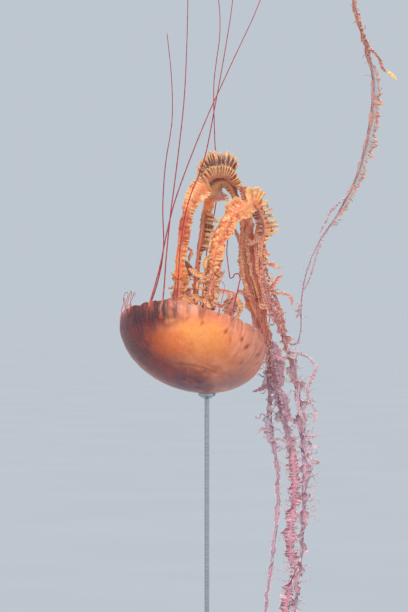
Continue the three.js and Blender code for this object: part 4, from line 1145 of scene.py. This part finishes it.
# ------------------------------------------------------------------ materials
class Graph:
    """A material's nodes, with short calls to make and join them."""

    def __init__(self, name):
        self.material = bpy.data.materials.new(name)
        self.material.use_nodes = True
        self.tree = self.material.node_tree
        self.shader = self.tree.nodes["Principled BSDF"]

    def node(self, kind, inputs=(), **settings):
        made = self.tree.nodes.new("ShaderNode" + kind)
        for key, value in settings.items():
            setattr(made, key, value)
        for key, value in dict(inputs).items():
            self.put(value, made.inputs[key])
        return made

    def put(self, value, socket):
        if isinstance(value, bpy.types.NodeSocket):
            self.tree.links.new(value, socket)
        elif isinstance(value, np.ndarray) and socket.type == "RGBA":
            socket.default_value = (*value, 1)
        else:
            socket.default_value = value

    def times(self, a, b):
        return self.node("Math", {0: a, 1: b}, operation="MULTIPLY").outputs[0]

    def field(self, name, output="Fac"):
        return self.node("Attribute", attribute_name=name).outputs[output]

    def place(self):
        return self.node("TexCoord").outputs["Object"]

    def noise(self, vector, scale, detail=3.0, rough=0.5):
        inputs = {"Vector": vector, "Scale": scale, "Detail": detail, "Roughness": rough}
        return self.node("TexNoise", inputs).outputs["Fac"]

    def stretch(self, vector, scale):
        return self.node("Mapping", {"Vector": vector, "Scale": scale}).outputs[0]

    def step(self, value, low, high, to_low=0.0, to_high=1.0):
        inputs = {"Value": value, "From Min": low, "From Max": high, "To Min": to_low, "To Max": to_high}
        return self.node("MapRange", inputs, interpolation_type="SMOOTHSTEP").outputs[0]

    def blend(self, share, a, b, how="MIX"):
        inputs = {0: share, 6: a, 7: b}
        return self.node("Mix", data_type="RGBA", blend_type=how, inputs=inputs).outputs[2]

    def paint(self, colour, *layers):
        """A colour under layers of (value, where it starts, where it shows most, share, tint, blend mode)."""
        for value, low, high, most, tint, *how in layers:
            colour = self.blend(self.step(value, low, high, 0, most), colour, linear(*tint), *how)
        return colour

    def bump(self, height, strength, distance, before=None):
        """The normal over a height, on top of an earlier bump's normal."""
        inputs = {"Height": height, "Strength": strength, "Distance": distance}
        if before:
            inputs["Normal"] = before
        return self.node("Bump", inputs).outputs[0]

    def finish(self, even=(), **sockets):
        """The material, with the shader's even values by their names and its varying ones as arguments."""
        for key, value in [*dict(even).items(), *sockets.items()]:
            self.put(value, self.shader.inputs[key.replace("_", " ")])
        return self.material


def wet(scatter):
    """Values of wet flesh that are the same all over."""
    return {
        "Subsurface Weight": scatter, "Subsurface Radius": (1.0, 0.45, 0.3), "Subsurface Scale": 0.008,
        "IOR": 1.38, "Coat Weight": 0.18, "Coat Roughness": 0.12,
        "Sheen Weight": 0.03, "Sheen Roughness": 0.4, "Sheen Tint": (0.86, 0.8, 1.0, 1),
    }


def arm_material():
    """Wet frilled flesh: painted colours under streaks along the arm, mottling and speckles."""
    graph = Graph("oral_arm_flesh")
    place = graph.place()
    streaked = graph.noise(graph.stretch(graph.field("place", "Vector"), (60, 1400, 1)), 1.0)
    speckle = graph.noise(place, 430, 3.0, 0.65)
    colour = graph.paint(
        graph.field("tone", "Color"),
        (graph.noise(place, 160, 4.0), 0.35, 0.75, 0.32, (222, 140, 118), "MULTIPLY"),
        (speckle, 0.5, 0.68, 0.5, (216, 128, 108), "MULTIPLY"),
        (speckle, 0.46, 0.3, 0.3, (255, 226, 186)),
        (streaked, 0.45, 0.8, 0.25, (255, 222, 176), "SCREEN"),
    )
    rough = graph.step(graph.noise(place, 420), 0.3, 0.7, 0.26, 0.46)
    normal = graph.bump(graph.noise(place, 900, 2.0), 0.3, 0.0003, graph.bump(streaked, 0.35, 0.0006))
    cover = graph.field("cover")
    return graph.finish(wet(0.35), Base_Color=colour, Roughness=rough, Normal=normal, Alpha=cover)


def bell_material():
    """Wet bell flesh: painted colours under fine radial streaks, freckles and a little bump."""
    graph = Graph("bell_flesh")
    place = graph.place()
    polar = graph.node("SeparateXYZ", {0: graph.field("polar", "Vector")}).outputs
    spun = {"X": polar[0], "Y": polar[1], "Z": graph.times(polar[2], 0.18)}
    spun = graph.stretch(graph.node("CombineXYZ", spun).outputs[0], (60, 60, 6))
    streaked = graph.noise(spun, 1.0, 4.0, 0.6)
    freckles = graph.noise(place, 520, 3.0, 0.7)
    near_rim = graph.step(polar[2], 0.72, 1.0, 0.05, 0.28)
    dark = graph.times(graph.step(streaked, 0.52, 0.7), near_rim)
    pale = graph.times(graph.times(graph.step(streaked, 0.46, 0.32), near_rim), 0.5)
    colour = graph.blend(dark, graph.field("tone", "Color"), linear(150, 80, 84))
    colour = graph.paint(
        graph.blend(pale, colour, linear(248, 180, 140)),
        (freckles, 0.5, 0.75, 0.16, (168, 88, 72)),
        (freckles, 0.5, 0.3, 0.14, (255, 206, 160)),
    )
    rough = graph.step(graph.noise(place, 90, 4.0), 0.3, 0.7, 0.3, 0.46)
    normal = graph.bump(graph.noise(place, 320), 0.25, 0.0006, graph.bump(streaked, 0.2, 0.0010))
    return graph.finish(wet(0.4), Base_Color=colour, Roughness=rough, Normal=normal)


def tentacle_material():
    """Wet dark red flesh with faint beads, which pales towards the root and on the short tentacles."""
    graph = Graph("tentacle_flesh")
    place = graph.place()
    turns = graph.times(graph.field("run"), TAU / (BEAD * MM))
    beads = graph.node("Math", {0: turns}, operation="SINE").outputs[0]
    mottle = graph.noise(place, 240)
    colour = graph.paint(
        linear(126, 20, 38),
        (mottle, 0.3, 0.7, 1.0, (176, 38, 50)),
        (beads, -1, 1, 0.22, (204, 74, 72)),
        (graph.field("away"), 1, 0, 1.0, (190, 104, 92)),
    )
    rough = graph.step(mottle, 0.3, 0.7, 0.28, 0.42)
    normal = graph.bump(graph.noise(place, 1200, 2.0), 0.25, 0.0002)
    return graph.finish(wet(0.15), Base_Color=colour, Roughness=rough, Normal=normal)


def lacquer_material():
    """Charcoal satin lacquer over a fine grain."""
    graph = Graph("charcoal_lacquer")
    place = graph.place()
    grain = graph.noise(graph.stretch(place, (14, 240, 240)), 1.0, 5.0, 0.6)
    colour = graph.paint(
        linear(38, 39, 43),
        (grain, 0.35, 0.7, 1.0, (56, 57, 61)),
        (graph.noise(place, 9), 0.3, 0.7, 0.3, (66, 66, 70)),
    )
    rough = graph.step(graph.noise(place, 60), 0.3, 0.7, 0.34, 0.48)
    normal = graph.bump(grain, 0.12, 0.0004)
    coat = {"Coat Weight": 0.3, "Coat Roughness": 0.22}
    return graph.finish(coat, Base_Color=colour, Roughness=rough, Normal=normal)


def steel_material():
    """Brushed steel, with the brush marks running round the rods."""
    graph = Graph("brushed_steel")
    brush = graph.noise(graph.stretch(graph.place(), (60, 60, 3200)), 1.0, 3.0, 0.6)
    colour = graph.paint(linear(168, 170, 174), (brush, 0.3, 0.7, 1.0, (204, 206, 210)))
    rough = graph.step(brush, 0.3, 0.7, 0.24, 0.38)
    normal = graph.bump(brush, 0.15, 0.0002)
    return graph.finish({"Metallic": 1.0}, Base_Color=colour, Roughness=rough, Normal=normal)


# ------------------------------------------------------------------ build
arm_flesh, tentacle_flesh = arm_material(), tentacle_material()
bell(bell_material())
mouth(arm_flesh)
skeletons = {name: arm(number, name, arm_flesh) for number, name in enumerate(ARMS)}
lobes(skeletons, arm_flesh)
curls(skeletons, arm_flesh)
for number in range(1, TENTACLES + 1):
    tentacle(number, tentacle_flesh)
steel = steel_material()
for name, material in (
    ("stand_base", lacquer_material()), ("stand_rod_bell", steel), ("stand_rod_arms", steel),
):
    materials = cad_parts[name].data.materials
    materials.clear()
    materials.append(material)

# ------------------------------------------------------------------ stage, light and camera
HORIZON = linear(190, 199, 208)
FLOOR_HALF = 400.0  # metres
FLOOR_SHARE = 0.394  # of the light that falls on it, so that it meets the sky unseen
FLOOR_BALANCE = np.array([1.107, 1.092, 1.084])  # what makes up for the suns' colours
CAMERA_PLACE = (-0.0306, -5.2, 0.7102)
LENS = 180  # in millimetres, as is the sensor's width
SENSOR = 36


def floor():
    mesh = bpy.data.meshes.new("floor")
    corners = [(x * FLOOR_HALF, y * FLOOR_HALF, 0) for x, y in ((-1, -1), (1, -1), (1, 1), (-1, 1))]
    mesh.from_pydata(corners, [], [(0, 1, 2, 3)])
    graph = Graph("floor_paint")
    tint = HORIZON / HORIZON.mean() * FLOOR_SHARE * FLOOR_BALANCE
    share = graph.step(graph.noise(graph.place(), 1.5), 0.3, 0.7)
    colour = graph.blend(share, tint * 0.985, tint * 1.015)
    mesh.materials.append(graph.finish({"Roughness": 0.9, "Specular IOR Level": 0.0}, Base_Color=colour))
    obj = placed("floor", mesh)


def sky():
    world = bpy.data.worlds.new("studio")
    bpy.context.scene.world = world
    world.use_nodes = True
    background = world.node_tree.nodes["Background"]
    background.inputs["Color"].default_value = (*HORIZON, 1)
    background.inputs["Strength"].default_value = 1.0


def sun(name, toward, spread, strength, colour):
    """A broad, soft sun that shines from the given direction."""
    data = bpy.data.lights.new(name, "SUN")
    data.angle = spread * DEG
    data.energy = strength
    data.color = colour
    placed(name, data).rotation_euler = Vector(toward).to_track_quat("Z", "Y").to_euler()


floor()
sky()
sun("key", (-0.35, -0.85, 0.745), 35, 2.5, (1.0, 0.95, 0.87))
sun("fill", (0.8, -0.5, 0.3), 50, 0.5, (0.88, 0.94, 1.0))
sun("back", (0.35, 0.8, 0.6), 30, 1.4, (1.0, 0.92, 0.84))

scene = bpy.context.scene
scene.view_settings.view_transform = "Standard"
scene.cycles.transparent_max_bounces = 24
lens = bpy.data.cameras.new("camera")
lens.lens, lens.sensor_width, lens.clip_end = LENS, SENSOR, 2.5 * FLOOR_HALF
camera = placed("camera", lens)
camera.location = CAMERA_PLACE
camera.rotation_euler = (math.pi / 2, 0, 0)
scene.camera = camera
